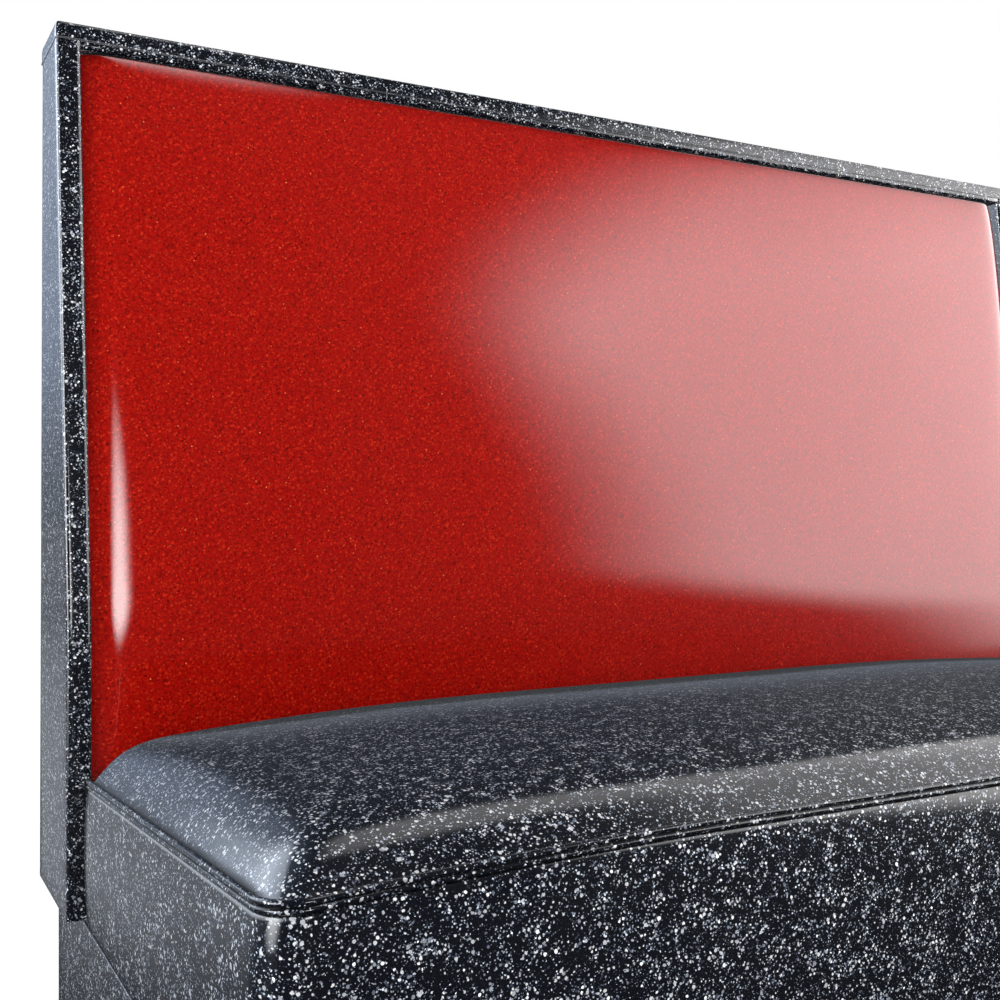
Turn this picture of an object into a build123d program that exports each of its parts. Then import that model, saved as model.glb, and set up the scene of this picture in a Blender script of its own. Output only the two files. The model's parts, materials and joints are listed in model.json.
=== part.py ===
"""One-sided restaurant booth: a recessed base, a lift-out boxed seat and an upholstered back.

Millimetres, +Z up. X runs along the bench, Y from the seat's front to the back's rear.
The origin lies on the floor under the middle of the bench.
"""

from build123d import *
from math import sqrt
import os

os.makedirs("parts", exist_ok=True)

# Overall sizes
bench_width = 1219
bench_height = 1067
bench_depth = 634
half_width = bench_width / 2
overrun = 5

# Upholstery
vinyl = 1.2
welt_radius = 3.5
welt_inset = 1.5
soft_gap = 0.3
edge_round = 3.0
front_y = -bench_depth / 2 + welt_radius - welt_inset
rear_y = bench_depth / 2

# Boards
panel = 18.0
ply = 9.0
hardboard = 4.0

# Base
side_inset = 17.0
base_height = 286.7
toe_recess = 89.0
glide_height = 8.0
deck = 12.0
base_half = half_width - side_inset
base_front_y = front_y + toe_recess
block = 42.0
block_height = 120.0

# Back unit: an upright lower part, then a rake, and a rear that leans forward
back_depth = 151.0
back_low = 295.0
bend_height = 545.0
rake_setback = 54.0
rear_lean = 18.0
bend_radius = 600.0
back_front_y = rear_y - back_depth
cap_skirt = 11.0
top_rail = 20.0
sole = 28.0
sole_margin = 12.0
back_foam_depth = 44.0
return_depth = 25.0
lumbar_rail_height = 70.0
lumbar_rail_depth = 25.0
cushion_low = 342.0

# Back cushion
cushion_recess = 6.0
cushion_crown = 12.0
cushion_roll = 38.0
cushion_fit = 0.4
least_bow = 0.6
bow_place_share = 0.3
bow_depth_share = 0.7
roll_station_shares = (0, 0.05, 0.18, 0.4, 0.68, 1)

# Seat unit
seat_low = base_height + soft_gap
seat_rear_gap = 0.8
boxing = 3.0
dust_cloth = 0.8
rail = 25.0
rail_height = 93.0
corner_radius = 27.0
welt_rear_z = 409.0
welt_corner_z = 441.0
welt_droop = 10.0
droop_reach = 300.0
droop_station_shares = (0.3, 1)
welt_ease = 1500.0
dust_margin = 20.0
centre_drop = 15.0
seat_block = 48.0
seat_rear_y = back_front_y - seat_rear_gap

# Seat crown
end_roll = 62.0
end_roll_rise = 33.0
end_crown_rise = 15.0
crown_reach = 390.0
front_roll = 64.0
front_roll_rise = 31.0
crown_bow = 13.0
crown_station_shares = (0.35, 0.6, 1)

# Seat suspension
spring_wire = 3.6
spring_width = 46.0
spring_pitch = 38.0
spring_rows = 5
spring_bar = 20.0
clip_width = 26.0
clip_steel = 1.2
clip_base = 14.0
clip_lip = 9.0
felt = 4.0

# Fasteners
bolt_radius = 4.0
bolt_head_height = 5.3
washer_radius = 11.0
washer_thick = 1.6
nut_flats = 13.0
nut_height = 6.5
bolt_end = 4.0
bolt_rows = 4
bolt_side_margin = 120.0
thread_fit = 0.05
glide_radius = 12.0
glide_bevel = 2.5

# Dowels that locate the loose seat
dowel_radius = 5.0
dowel_gap = 0.8
dowel_height = 15.0
dowel_reach = 18.0
dowel_set_in = 92.0
dowel_ys = (base_front_y + dowel_set_in, back_front_y - dowel_set_in)


def save(builder, name):
    """Labels a finished piece and writes its file."""
    builder.part.label = name
    export_step(builder.part, f"parts/{name}.step")


def front_at(z):
    """Y of the back unit's front face at a height."""
    if z <= bend_height:
        return back_front_y
    return back_front_y + rake_setback * (z - bend_height) / (bench_height - bend_height)


def rear_at(z):
    """Y of the back unit's rear face at a height."""
    return rear_y - rear_lean * (z - back_low) / (bench_height - back_low)


def front_line(setback, low, high):
    """Line behind the back unit's front face, with the bend eased where it crosses it."""
    start = (front_at(low) + setback, low)
    end = (front_at(high) + setback, high)
    if low < bend_height < high:
        FilletPolyline(start, (front_at(bend_height) + setback, bend_height), end, radius=bend_radius)
    else:
        Line(start, end)


def end_outline(margin, low, high):
    """Closed side outline of the back unit, drawn in by a margin at front and rear."""
    front_line(margin, low, high)
    Polyline(
        (front_at(high) + margin, high),
        (rear_at(high) - margin, high),
        (rear_at(low) - margin, low),
        (front_at(low) + margin, low),
    )


def front_strip(margin, thickness, low, high):
    """Closed side outline of a layer that follows the back unit's front face."""
    for setback in (margin, margin + thickness):
        front_line(setback, low, high)
    for z in (low, high):
        Line((front_at(z) + margin, z), (front_at(z) + margin + thickness, z))


def rear_strip(margin, thickness, low, high):
    """Closed side outline of a layer that follows the back unit's rear face."""
    Polyline(
        (rear_at(low) - margin, low),
        (rear_at(high) - margin, high),
        (rear_at(high) - margin - thickness, high),
        (rear_at(low) - margin - thickness, low),
        close=True,
    )


def box_between(low, high):
    """A block between two opposite corners."""
    size = [b - a for a, b in zip(low, high)]
    middle = [(a + b) / 2 for a, b in zip(low, high)]
    with Locations(tuple(middle)):
        Box(*size)


# Base: end panels, boards and ribs under one deck
panel_low = glide_height
panel_high = base_height - deck
base_rear_y = rear_y - vinyl
board_front_y = base_front_y + vinyl

for side, name in ((-1, "base_left_end"), (1, "base_right_end")):
    outer = side * (base_half - vinyl)
    inner = outer - side * panel
    with BuildPart() as base_end:
        box_between(
            (min(outer, inner), board_front_y, panel_low),
            (max(outer, inner), base_rear_y, panel_high),
        )
    save(base_end, name)

base_inner = base_half - vinyl - panel

with BuildPart() as base_kick_board:
    box_between((-base_inner, board_front_y, panel_low), (base_inner, board_front_y + panel, panel_high))
save(base_kick_board, "base_kick_board")

with BuildPart() as base_rear_board:
    box_between((-base_inner, base_rear_y - panel, panel_low), (base_inner, base_rear_y, panel_high))
save(base_rear_board, "base_rear_board")

with BuildPart() as base_centre_rib:
    box_between(
        (-panel / 2, board_front_y + panel, panel_low),
        (panel / 2, base_rear_y - panel, panel_high),
    )
save(base_centre_rib, "base_centre_rib")

rail_middle = base_half - boxing - rail / 2
dowel_places = [(x, y) for x in (-rail_middle, rail_middle) for y in dowel_ys]
bolt_step = 2 * (base_half - bolt_side_margin) / (bolt_rows - 1)
bolt_y = back_front_y + back_depth / 2
bolt_places = [(-base_half + bolt_side_margin + i * bolt_step, bolt_y) for i in range(bolt_rows)]

with BuildPart() as base_deck:
    box_between(
        (-base_half + vinyl, board_front_y, panel_high),
        (base_half - vinyl, base_rear_y, base_height),
    )
    with BuildSketch(Plane.XY.offset(panel_high)):
        with Locations(*bolt_places):
            Circle(bolt_radius + soft_gap)
        with Locations(*dowel_places):
            Circle(dowel_radius + thread_fit)
    extrude(amount=deck, mode=Mode.SUBTRACT)
save(base_deck, "base_deck")

# Glue blocks in the base's corners and beside the centre rib
block_x = base_inner - block / 2
block_front_y = board_front_y + panel + block / 2
block_rear_y = base_rear_y - panel - block / 2
rib_block_x = panel / 2 + block / 2
glide_places = [(x, y) for x in (-block_x, rib_block_x, block_x) for y in (block_front_y, block_rear_y)]

with BuildPart() as base_corner_blocks:
    with BuildSketch(Plane.XY.offset(panel_low)):
        with Locations(*glide_places):
            Rectangle(block, block)
    extrude(amount=block_height)
save(base_corner_blocks, "base_corner_blocks")

# Nail-on floor glides: bevelled plastic pads
with BuildPart() as floor_glides:
    with BuildSketch():
        with Locations(*glide_places):
            Circle(glide_radius)
    extrude(amount=glide_height)
    soles = floor_glides.faces().filter_by(Axis.Z).group_by(Axis.Z)[0]
    chamfer(soles.edges(), glide_bevel)
save(floor_glides, "floor_glides")

# Vinyl on the base, one sheet on each face
for side, name in ((-1, "base_left_cover"), (1, "base_right_cover")):
    outer = side * base_half
    inner = outer - side * vinyl
    with BuildPart() as base_side_cover:
        box_between(
            (min(outer, inner), base_front_y, panel_low),
            (max(outer, inner), rear_y, base_height),
        )
    save(base_side_cover, name)

for low_y, name in ((base_front_y, "base_front_cover"), (base_rear_y, "base_rear_cover")):
    with BuildPart() as base_face_cover:
        box_between(
            (-base_half + vinyl, low_y, panel_low),
            (base_half - vinyl, low_y + vinyl, base_height),
        )
    save(base_face_cover, name)

# Back unit: shaped end panels
cap_low = bench_height - cap_skirt
end_high = bench_height - vinyl
end_outer = half_width - vinyl
end_inner = end_outer - panel
return_low = back_low + sole
return_high = end_high - top_rail - vinyl

for side, name in ((-1, "back_left_end"), (1, "back_right_end")):
    with BuildPart() as back_end:
        with BuildSketch(Plane.YZ.offset(side * end_outer)):
            with BuildLine():
                end_outline(vinyl, back_low, end_high)
            make_face()
        extrude(amount=-side * panel)
    save(back_end, name)

# Vinyl round each end panel: outside face, front edge, rear edge and a short inner return
for side, name in ((-1, "back_left_cover"), (1, "back_right_cover")):
    with BuildPart() as back_end_cover:
        with BuildSketch(Plane.YZ.offset(side * half_width)):
            with BuildLine():
                end_outline(0, back_low, cap_low - soft_gap)
            make_face()
        extrude(amount=-side * (panel + vinyl))
        straight = back_end_cover.edges().filter_by(GeomType.LINE)
        outside = straight.filter_by_position(
            Axis.X, side * half_width - soft_gap, side * half_width + soft_gap
        )
        fillet(outside.filter_by(lambda edge: edge.length > back_depth), edge_round)
        with BuildSketch(Plane.YZ.offset(side * end_outer)):
            with BuildLine():
                end_outline(vinyl, back_low - overrun, cap_low + overrun)
            make_face()
        extrude(amount=-side * (panel + overrun), mode=Mode.SUBTRACT)
        with BuildSketch(Plane.YZ.offset(side * end_inner)):
            with BuildLine():
                front_strip(0, return_depth, return_low, return_high)
            make_face()
        extrude(amount=-side * vinyl)
    save(back_end_cover, name)

# Sole plate, bolted down through the deck
with BuildPart() as back_sole_plate:
    box_between(
        (-end_inner, back_front_y + sole_margin, base_height),
        (end_inner, rear_y - rear_lean - sole_margin, base_height + sole),
    )
    with BuildSketch(Plane.XY.offset(base_height)):
        with Locations(*bolt_places):
            Circle(bolt_radius + soft_gap)
    extrude(amount=sole, mode=Mode.SUBTRACT)
save(back_sole_plate, "back_sole_plate")

rail_low = end_high - top_rail
with BuildPart() as back_top_rail:
    with BuildSketch(Plane.YZ.offset(-end_inner)):
        with BuildLine():
            Polyline(
                (front_at(rail_low) + vinyl, rail_low),
                (front_at(end_high) + vinyl, end_high),
                (rear_at(end_high) - vinyl, end_high),
                (rear_at(rail_low) - vinyl, rail_low),
                close=True,
            )
        make_face()
    extrude(amount=2 * end_inner)
save(back_top_rail, "back_top_rail")

# Plywood that carries the back's foam: an upright lower panel and a raked upper one
foam_margin = cushion_recess + back_foam_depth
panel_margin = foam_margin + vinyl
cushion_half = end_inner - vinyl - cushion_fit
cushion_high = rail_low - vinyl - cushion_fit

with BuildPart() as back_lower_panel:
    with BuildSketch(Plane.YZ.offset(-end_inner)):
        with BuildLine():
            front_strip(panel_margin, ply, base_height + sole, bend_height)
        make_face()
    extrude(amount=2 * end_inner)
save(back_lower_panel, "back_lower_panel")

with BuildPart() as back_upper_panel:
    with BuildSketch(Plane.YZ.offset(-end_inner)):
        with BuildLine():
            front_strip(panel_margin, ply, bend_height, rail_low)
        make_face()
    extrude(amount=2 * end_inner)
save(back_upper_panel, "back_upper_panel")

# Lumbar rail behind the joint of the two panels, split at the centre rib
rib_half = panel / 2
lumbar_low = bend_height - lumbar_rail_height / 2
lumbar_high = bend_height + lumbar_rail_height / 2
for side, name in ((-1, "back_left_lumbar_rail"), (1, "back_right_lumbar_rail")):
    with BuildPart() as lumbar_rail:
        with BuildSketch(Plane.YZ.offset(side * rib_half)):
            with BuildLine():
                Polyline(
                    (front_at(lumbar_low) + panel_margin + ply, lumbar_low),
                    (front_at(bend_height) + panel_margin + ply, bend_height),
                    (front_at(lumbar_high) + panel_margin + ply, lumbar_high),
                    (front_at(lumbar_high) + panel_margin + ply + lumbar_rail_depth, lumbar_high),
                    (front_at(lumbar_low) + panel_margin + ply + lumbar_rail_depth, lumbar_low),
                    close=True,
                )
            make_face()
        extrude(amount=side * (end_inner - rib_half))
    save(lumbar_rail, name)

# Centre rib between the foam panels and the rear board
with BuildPart() as back_centre_rib:
    with BuildSketch(Plane.YZ.offset(-rib_half)):
        with BuildLine():
            Polyline(
                (front_at(bend_height) + panel_margin + ply, base_height + sole),
                (front_at(bend_height) + panel_margin + ply, bend_height),
                (front_at(rail_low) + panel_margin + ply, rail_low),
                (rear_at(rail_low) - vinyl - hardboard, rail_low),
                (rear_at(base_height + sole) - vinyl - hardboard, base_height + sole),
                close=True,
            )
        make_face()
    extrude(amount=panel)
save(back_centre_rib, "back_centre_rib")

with BuildPart() as back_rear_board:
    with BuildSketch(Plane.YZ.offset(-end_inner)):
        with BuildLine():
            rear_strip(vinyl, hardboard, back_low, rail_low)
        make_face()
    extrude(amount=2 * end_inner)
save(back_rear_board, "back_rear_board")

with BuildPart() as back_rear_cover:
    with BuildSketch(Plane.YZ.offset(-end_inner)):
        with BuildLine():
            rear_strip(0, vinyl, back_low, cap_low - soft_gap)
        make_face()
    extrude(amount=2 * end_inner)
save(back_rear_cover, "back_rear_cover")

# Vinyl cap over the top, with a short skirt that ends in the seam
with BuildPart() as back_top_cap:
    with BuildSketch(Plane.YZ.offset(-half_width)):
        with BuildLine():
            Polyline(
                (front_at(cap_low), cap_low),
                (front_at(bench_height), bench_height),
                (rear_at(bench_height), bench_height),
                (rear_at(cap_low), cap_low),
                close=True,
            )
        make_face()
    extrude(amount=bench_width)
    top_face = back_top_cap.faces().sort_by(Axis.Z)[-1]
    corner_edges = back_top_cap.edges().filter_by(
        lambda edge: abs(edge.center().X) > half_width - edge_round and edge.length < cap_skirt + edge_round
    )
    fillet(top_face.edges() + corner_edges, edge_round)
    with BuildSketch(Plane.YZ.offset(-end_outer)):
        with BuildLine():
            Polyline(
                (front_at(cap_low) + vinyl, cap_low - overrun),
                (front_at(cap_low) + vinyl, cap_low),
                (front_at(end_high) + vinyl, end_high),
                (rear_at(end_high) - vinyl, end_high),
                (rear_at(cap_low) - vinyl, cap_low),
                (rear_at(cap_low) - vinyl, cap_low - overrun),
                close=True,
            )
        make_face()
    extrude(amount=2 * end_outer, mode=Mode.SUBTRACT)
save(back_top_cap, "back_top_cap")

# Vinyl band on the top rail's front edge, turned in under the rail
with BuildPart() as back_top_band:
    with BuildSketch(Plane.YZ.offset(-end_inner)):
        with BuildLine():
            Polyline(
                (front_at(rail_low) + vinyl, rail_low),
                (front_at(cap_low - soft_gap) + vinyl, cap_low - soft_gap),
                (front_at(cap_low - soft_gap), cap_low - soft_gap),
                (front_at(rail_low), rail_low - vinyl),
                (front_at(rail_low) + return_depth, rail_low - vinyl),
                (front_at(rail_low) + return_depth, rail_low),
                close=True,
            )
        make_face()
    extrude(amount=2 * end_inner)
save(back_top_band, "back_top_band")


def cushion_section(z, inset, rear_margin):
    """Level outline of the back cushion: rolled ends and a crowned front."""
    from_end = min(z - cushion_low, cushion_high - z)
    rolled = min(from_end / cushion_roll, 1)
    roll_share = sqrt(1 - (1 - rolled) ** 2)
    climb_share = min(max((z - bend_height) / (cushion_span / 4), 0), 1)
    fade_share = min(1, (cushion_high - z) / (cushion_span / 4))
    crown = cushion_crown * climb_share * fade_share
    edge_y = front_at(z) + cushion_recess + inset
    roll_depth = (cushion_recess - soft_gap - 2 * least_bow) * roll_share
    shoulder_y = edge_y - least_bow - roll_depth - crown / 2
    crown_y = shoulder_y - least_bow - crown / 2
    side_x = cushion_half - inset
    roll_x = side_x - cushion_roll
    bow_x = side_x - cushion_roll * bow_place_share
    bow_y = edge_y + (shoulder_y - edge_y) * bow_depth_share
    back_y = front_at(z) + rear_margin
    Polyline((-side_x, edge_y), (-side_x, back_y), (side_x, back_y), (side_x, edge_y))
    ThreePointArc((side_x, edge_y), (bow_x, bow_y), (roll_x, shoulder_y))
    ThreePointArc((roll_x, shoulder_y), (0, crown_y), (-roll_x, shoulder_y))
    ThreePointArc((-roll_x, shoulder_y), (-bow_x, bow_y), (-side_x, edge_y))


cushion_span = cushion_high - cushion_low
cushion_stations = (
    [cushion_low + cushion_roll * share for share in roll_station_shares]
    + [bend_height, bend_height + cushion_span / 8, bend_height + cushion_span / 4]
    + [cushion_high - cushion_span / 4, cushion_high - cushion_span / 8]
    + [cushion_high - cushion_roll * share for share in reversed(roll_station_shares)]
)

with BuildPart() as back_foam:
    for z in cushion_stations:
        with BuildSketch(Plane.XY.offset(z)):
            with BuildLine():
                cushion_section(z, vinyl + soft_gap, foam_margin)
            make_face()
    loft(ruled=True)
save(back_foam, "back_foam")

with BuildPart() as back_cushion_cover:
    for z in cushion_stations:
        with BuildSketch(Plane.XY.offset(z)):
            with BuildLine():
                cushion_section(z, 0, foam_margin)
            make_face()
    loft(ruled=True)
    for z in cushion_stations:
        with BuildSketch(Plane.XY.offset(z)):
            with BuildLine():
                cushion_section(z, vinyl, foam_margin + overrun)
            make_face()
    loft(ruled=True, mode=Mode.SUBTRACT)
save(back_cushion_cover, "back_cushion_cover")

# Seat unit: timber rails round a lift-out box
rail_low_z = seat_low + dust_cloth
rail_high_z = rail_low_z + rail_height
rail_outer = base_half - boxing
rail_inner = rail_outer - rail
rail_front_y = front_y + boxing
rail_rear_y = seat_rear_y - boxing


for side, name in ((-1, "seat_left_rail"), (1, "seat_right_rail")):
    outer = side * rail_outer
    inner = side * rail_inner
    with BuildPart() as seat_side_rail:
        box_between(
            (min(outer, inner), rail_front_y, rail_low_z),
            (max(outer, inner), rail_rear_y, rail_high_z),
        )
        uprights = seat_side_rail.edges().filter_by(Axis.Z)
        nose = uprights.sort_by(lambda edge: edge.center().Y - side * edge.center().X)[0]
        fillet(nose, corner_radius - boxing)
        with BuildSketch(Plane.XY.offset(rail_low_z)):
            with Locations(*dowel_places):
                Circle(dowel_radius + dowel_gap)
        extrude(amount=dowel_reach, mode=Mode.SUBTRACT)
    save(seat_side_rail, name)

for low_y, name in ((rail_front_y, "seat_front_rail"), (rail_rear_y - rail, "seat_rear_rail")):
    with BuildPart() as seat_cross_rail:
        box_between((-rail_inner, low_y, rail_low_z), (rail_inner, low_y + rail, rail_high_z))
    save(seat_cross_rail, name)

# Triangular glue blocks in the frame's corners
with BuildPart() as seat_corner_blocks:
    with BuildSketch(Plane.XY.offset(rail_low_z)):
        for x, way_x in ((-rail_inner, 1), (rail_inner, -1)):
            for y, way_y in ((rail_front_y + rail, 1), (rail_rear_y - rail, -1)):
                with BuildLine():
                    Polyline((x, y), (x + way_x * seat_block, y), (x, y + way_y * seat_block), close=True)
                make_face()
    extrude(amount=rail_height - centre_drop)
save(seat_corner_blocks, "seat_corner_blocks")

with BuildPart() as seat_centre_rail:
    box_between(
        (-rail / 2, rail_front_y + rail, rail_low_z),
        (rail / 2, rail_rear_y - rail, rail_high_z - centre_drop),
    )
save(seat_centre_rail, "seat_centre_rail")

# Dowels that stand in the deck and keep the loose seat in place
with BuildPart() as locating_dowels:
    with BuildSketch(Plane.XY.offset(panel_high)):
        with Locations(*dowel_places):
            Circle(dowel_radius)
    extrude(amount=deck + dowel_height)
save(locating_dowels, "locating_dowels")

with BuildPart() as seat_dust_cloth:
    with BuildSketch(Plane.XY.offset(seat_low)):
        with Locations((0, (rail_front_y + rail_rear_y) / 2)):
            Rectangle(2 * (rail_outer - dust_margin), rail_rear_y - rail_front_y - 2 * dust_margin)
    extrude(amount=dust_cloth)
save(seat_dust_cloth, "seat_dust_cloth")

# Zigzag springs from the front rail to the rear rail
spring_low = rail_high_z
front_bar_y = rail_front_y + rail / 2
rear_bar_y = rail_rear_y - rail / 2
spring_turns = 2 * round((rear_bar_y - front_bar_y) / (2 * spring_pitch))
turn_pitch = (rear_bar_y - front_bar_y) / spring_turns
swing = spring_width / 2 - turn_pitch / 2
row_step = 2 * rail_inner / spring_rows
spring_xs = [-rail_inner + row_step * (i + 0.5) for i in range(spring_rows)]

with BuildPart() as seat_springs:
    for x in spring_xs:
        with BuildSketch(Plane.XY.offset(spring_low)):
            with BuildLine() as zigzag:
                Line((x - spring_bar, front_bar_y), (x + swing, front_bar_y))
                for i in range(spring_turns):
                    way = 1 if i % 2 == 0 else -1
                    low_y = front_bar_y + i * turn_pitch
                    bar_x = x + way * swing
                    turn = turn_pitch / 4
                    Polyline(
                        (bar_x, low_y),
                        (bar_x + way * turn, low_y + turn),
                        (bar_x + way * turn, low_y + turn_pitch - turn),
                        (bar_x, low_y + turn_pitch),
                    )
                    if i < spring_turns - 1:
                        Line((bar_x, low_y + turn_pitch), (bar_x - 2 * way * swing, low_y + turn_pitch))
                Line((x - swing, rear_bar_y), (x + spring_bar, rear_bar_y))
            trace(line_width=spring_wire)
        extrude(amount=spring_wire)
save(seat_springs, "seat_springs")

# Bent steel clips that hold each spring's end bars on the rails
with BuildPart() as seat_spring_clips:
    for x in spring_xs:
        for bar_y, way in ((front_bar_y, -1), (rear_bar_y, 1)):
            riser = bar_y + way * (spring_wire / 2 + soft_gap)
            lip_low = spring_low + spring_wire + soft_gap
            foot = riser + way * (clip_base - spring_wire)
            lip = riser - way * clip_lip
            with BuildSketch(Plane.YZ.offset(x - clip_width / 2)):
                with BuildLine():
                    Polyline(
                        (foot, spring_low),
                        (riser, spring_low),
                        (riser, lip_low),
                        (lip, lip_low),
                        (lip, lip_low + clip_steel),
                        (riser + way * clip_steel, lip_low + clip_steel),
                        (riser + way * clip_steel, spring_low + clip_steel),
                        (foot, spring_low + clip_steel),
                        close=True,
                    )
                make_face()
            extrude(amount=clip_width)
save(seat_spring_clips, "seat_spring_clips")

# Seat crown
felt_low = spring_low + spring_wire + 2 * soft_gap + clip_steel
foam_low = felt_low + felt
welt_x = base_half - welt_inset
welt_y = front_y + welt_inset
cover_half = welt_x - welt_radius - soft_gap
cover_front_y = welt_y + welt_radius + soft_gap
cover_corner = corner_radius - welt_inset - welt_radius


def welt_front_z(x):
    """Height of the welt along the front: it droops towards the corners."""
    reach_share = min((cover_half - abs(x)) / droop_reach, 1)
    return welt_corner_z + welt_droop * (1 - (1 - reach_share) ** 2)


def crown_section(x, inset, floor_z):
    """Side outline of the seat cushion at a place along the bench."""
    half = cover_half - inset
    from_end = half - abs(x)
    roll_share = sqrt(1 - (1 - min(from_end / end_roll, 1)) ** 2)
    crown_share = 1 - (1 - min(from_end / crown_reach, 1)) ** 2
    corner = max(cover_corner - from_end, 0)
    nose_y = cover_front_y + inset + cover_corner - sqrt(cover_corner**2 - corner**2)
    edge_z = welt_front_z(x) - inset
    tail_y = seat_rear_y - inset
    tail_z = welt_rear_z - inset + end_roll_rise * roll_share + end_crown_rise * crown_share
    rise = front_roll_rise * roll_share + 2 * least_bow
    roll_y = nose_y + front_roll
    top_z = edge_z + rise
    bow_y = roll_y - front_roll * sqrt(0.5)
    bow_z = edge_z + rise * sqrt(0.5)
    middle_y = (roll_y + tail_y) / 2
    middle_z = (top_z + tail_z) / 2 + crown_bow * roll_share + least_bow
    Polyline((nose_y, edge_z), (nose_y, floor_z), (tail_y, floor_z), (tail_y, tail_z))
    ThreePointArc((tail_y, tail_z), (middle_y, middle_z), (roll_y, top_z))
    ThreePointArc((roll_y, top_z), (bow_y, bow_z), (nose_y, edge_z))


def crown_stations(inset):
    """Places along the bench where the seat cushion's section is set out."""
    half = cover_half - inset
    ends = [half - end_roll * share for share in roll_station_shares]
    inner = [half - crown_reach * share for share in crown_station_shares]
    right = inner[::-1] + ends[::-1]
    return [-x for x in reversed(right)] + [0] + right


with BuildPart() as seat_foam:
    for x in crown_stations(vinyl + soft_gap):
        with BuildSketch(Plane.YZ.offset(x)):
            with BuildLine():
                crown_section(x, vinyl + soft_gap, foam_low)
            make_face()
    loft(ruled=True)
save(seat_foam, "seat_foam")

with BuildPart() as seat_top_cover:
    for x in crown_stations(0):
        with BuildSketch(Plane.YZ.offset(x)):
            with BuildLine():
                crown_section(x, 0, foam_low)
            make_face()
    loft(ruled=True)
    for x in crown_stations(vinyl):
        with BuildSketch(Plane.YZ.offset(x)):
            with BuildLine():
                crown_section(x, vinyl, foam_low - overrun)
            make_face()
    loft(ruled=True, mode=Mode.SUBTRACT)
save(seat_top_cover, "seat_top_cover")

with BuildPart() as seat_felt_pad:
    box_between(
        (-cover_half + cover_corner, cover_front_y + vinyl, felt_low),
        (cover_half - cover_corner, rail_rear_y, foam_low),
    )
save(seat_felt_pad, "seat_felt_pad")

# Piping round the top edge of the box
gentle_xs = [cover_half - droop_reach * share for share in droop_station_shares]
front_xs = [-x for x in gentle_xs] + gentle_xs[::-1]
welt_points = (
    [(-welt_x, seat_rear_y, welt_rear_z), (-welt_x, welt_y, welt_corner_z)]
    + [(x, welt_y, welt_front_z(x)) for x in front_xs]
    + [(welt_x, welt_y, welt_corner_z), (welt_x, seat_rear_y, welt_rear_z)]
)
welt_corner_radius = corner_radius - welt_inset
welt_radii = [welt_corner_radius] + [welt_ease] * len(front_xs) + [welt_corner_radius]

with BuildPart() as seat_welt:
    with BuildLine() as welt_path:
        FilletPolyline(*welt_points, radius=welt_radii)
    with BuildSketch(Plane(origin=welt_path.line @ 0, z_dir=welt_path.line % 0)):
        Circle(welt_radius)
    sweep()
save(seat_welt, "seat_welt")

# Boxing: the upright bands of the seat's front and sides
boxing_drop = welt_radius + soft_gap
corner_y = front_y + corner_radius
corner_x = base_half - corner_radius


def welt_side_z(y):
    """Height of the welt along the sides: straight from the rear to the front corner."""
    along_share = (seat_rear_y - y) / (seat_rear_y - welt_y)
    return welt_rear_z + (welt_corner_z - welt_rear_z) * along_share


for side, name in ((-1, "seat_left_boxing"), (1, "seat_right_boxing")):
    with BuildPart() as seat_side_boxing:
        with BuildSketch(Plane.YZ.offset(side * base_half)):
            with BuildLine():
                Polyline(
                    (corner_y, seat_low),
                    (seat_rear_y, seat_low),
                    (seat_rear_y, welt_side_z(seat_rear_y) - boxing_drop),
                    (corner_y, welt_side_z(corner_y) - boxing_drop),
                    close=True,
                )
            make_face()
        extrude(amount=-side * boxing)
    save(seat_side_boxing, name)

with BuildPart() as seat_front_boxing:
    with BuildSketch(Plane.XY.offset(seat_low)):
        with BuildLine():
            outer_front = Line((-corner_x, front_y), (corner_x, front_y))
            RadiusArc((corner_x, front_y), (base_half, corner_y), -corner_radius)
            Line((base_half, corner_y), (base_half - boxing, corner_y))
            RadiusArc((base_half - boxing, corner_y), (corner_x, front_y + boxing), corner_radius - boxing)
            Line((corner_x, front_y + boxing), (-corner_x, front_y + boxing))
            RadiusArc((-corner_x, front_y + boxing), (boxing - base_half, corner_y), corner_radius - boxing)
            Line((boxing - base_half, corner_y), (-base_half, corner_y))
            RadiusArc((-base_half, corner_y), (-corner_x, front_y), -corner_radius)
        make_face()
    extrude(amount=welt_corner_z + welt_droop - seat_low)
    trim_high = welt_corner_z + welt_droop + overrun
    with BuildSketch(Plane.XZ.offset(-corner_y)):
        with BuildLine():
            edge = [(x, welt_front_z(x) - boxing_drop) for x in front_xs]
            side_z = welt_side_z(corner_y) - boxing_drop
            Polyline(
                (-base_half - overrun, trim_high),
                (-base_half - overrun, side_z),
                (-corner_x, side_z),
                *edge,
                (corner_x, side_z),
                (base_half + overrun, side_z),
                (base_half + overrun, trim_high),
                close=True,
            )
        make_face()
    extrude(amount=corner_radius + overrun, mode=Mode.SUBTRACT)
save(seat_front_boxing, "seat_front_boxing")

with BuildPart() as seat_rear_boxing:
    box_between(
        (-base_half + boxing, rail_rear_y, seat_low),
        (base_half - boxing, seat_rear_y, foam_low - soft_gap),
    )
save(seat_rear_boxing, "seat_rear_boxing")

# Bolts that hold the back unit down on the base
sole_high = base_height + sole
with BuildPart() as back_bolts:
    with BuildSketch(Plane.XY.offset(sole_high)):
        with Locations(*bolt_places):
            RegularPolygon(nut_flats / 2, 6, major_radius=False)
    extrude(amount=bolt_head_height)
    with BuildSketch(Plane.XY.offset(sole_high)):
        with Locations(*bolt_places):
            Circle(bolt_radius)
    extrude(amount=-(sole + deck + washer_thick + nut_height + bolt_end))
save(back_bolts, "back_bolts")

with BuildPart() as back_bolt_washers:
    with BuildSketch(Plane.XY.offset(panel_high)):
        with Locations(*bolt_places):
            Circle(washer_radius)
            Circle(bolt_radius + soft_gap, mode=Mode.SUBTRACT)
    extrude(amount=-washer_thick)
save(back_bolt_washers, "back_bolt_washers")

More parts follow.
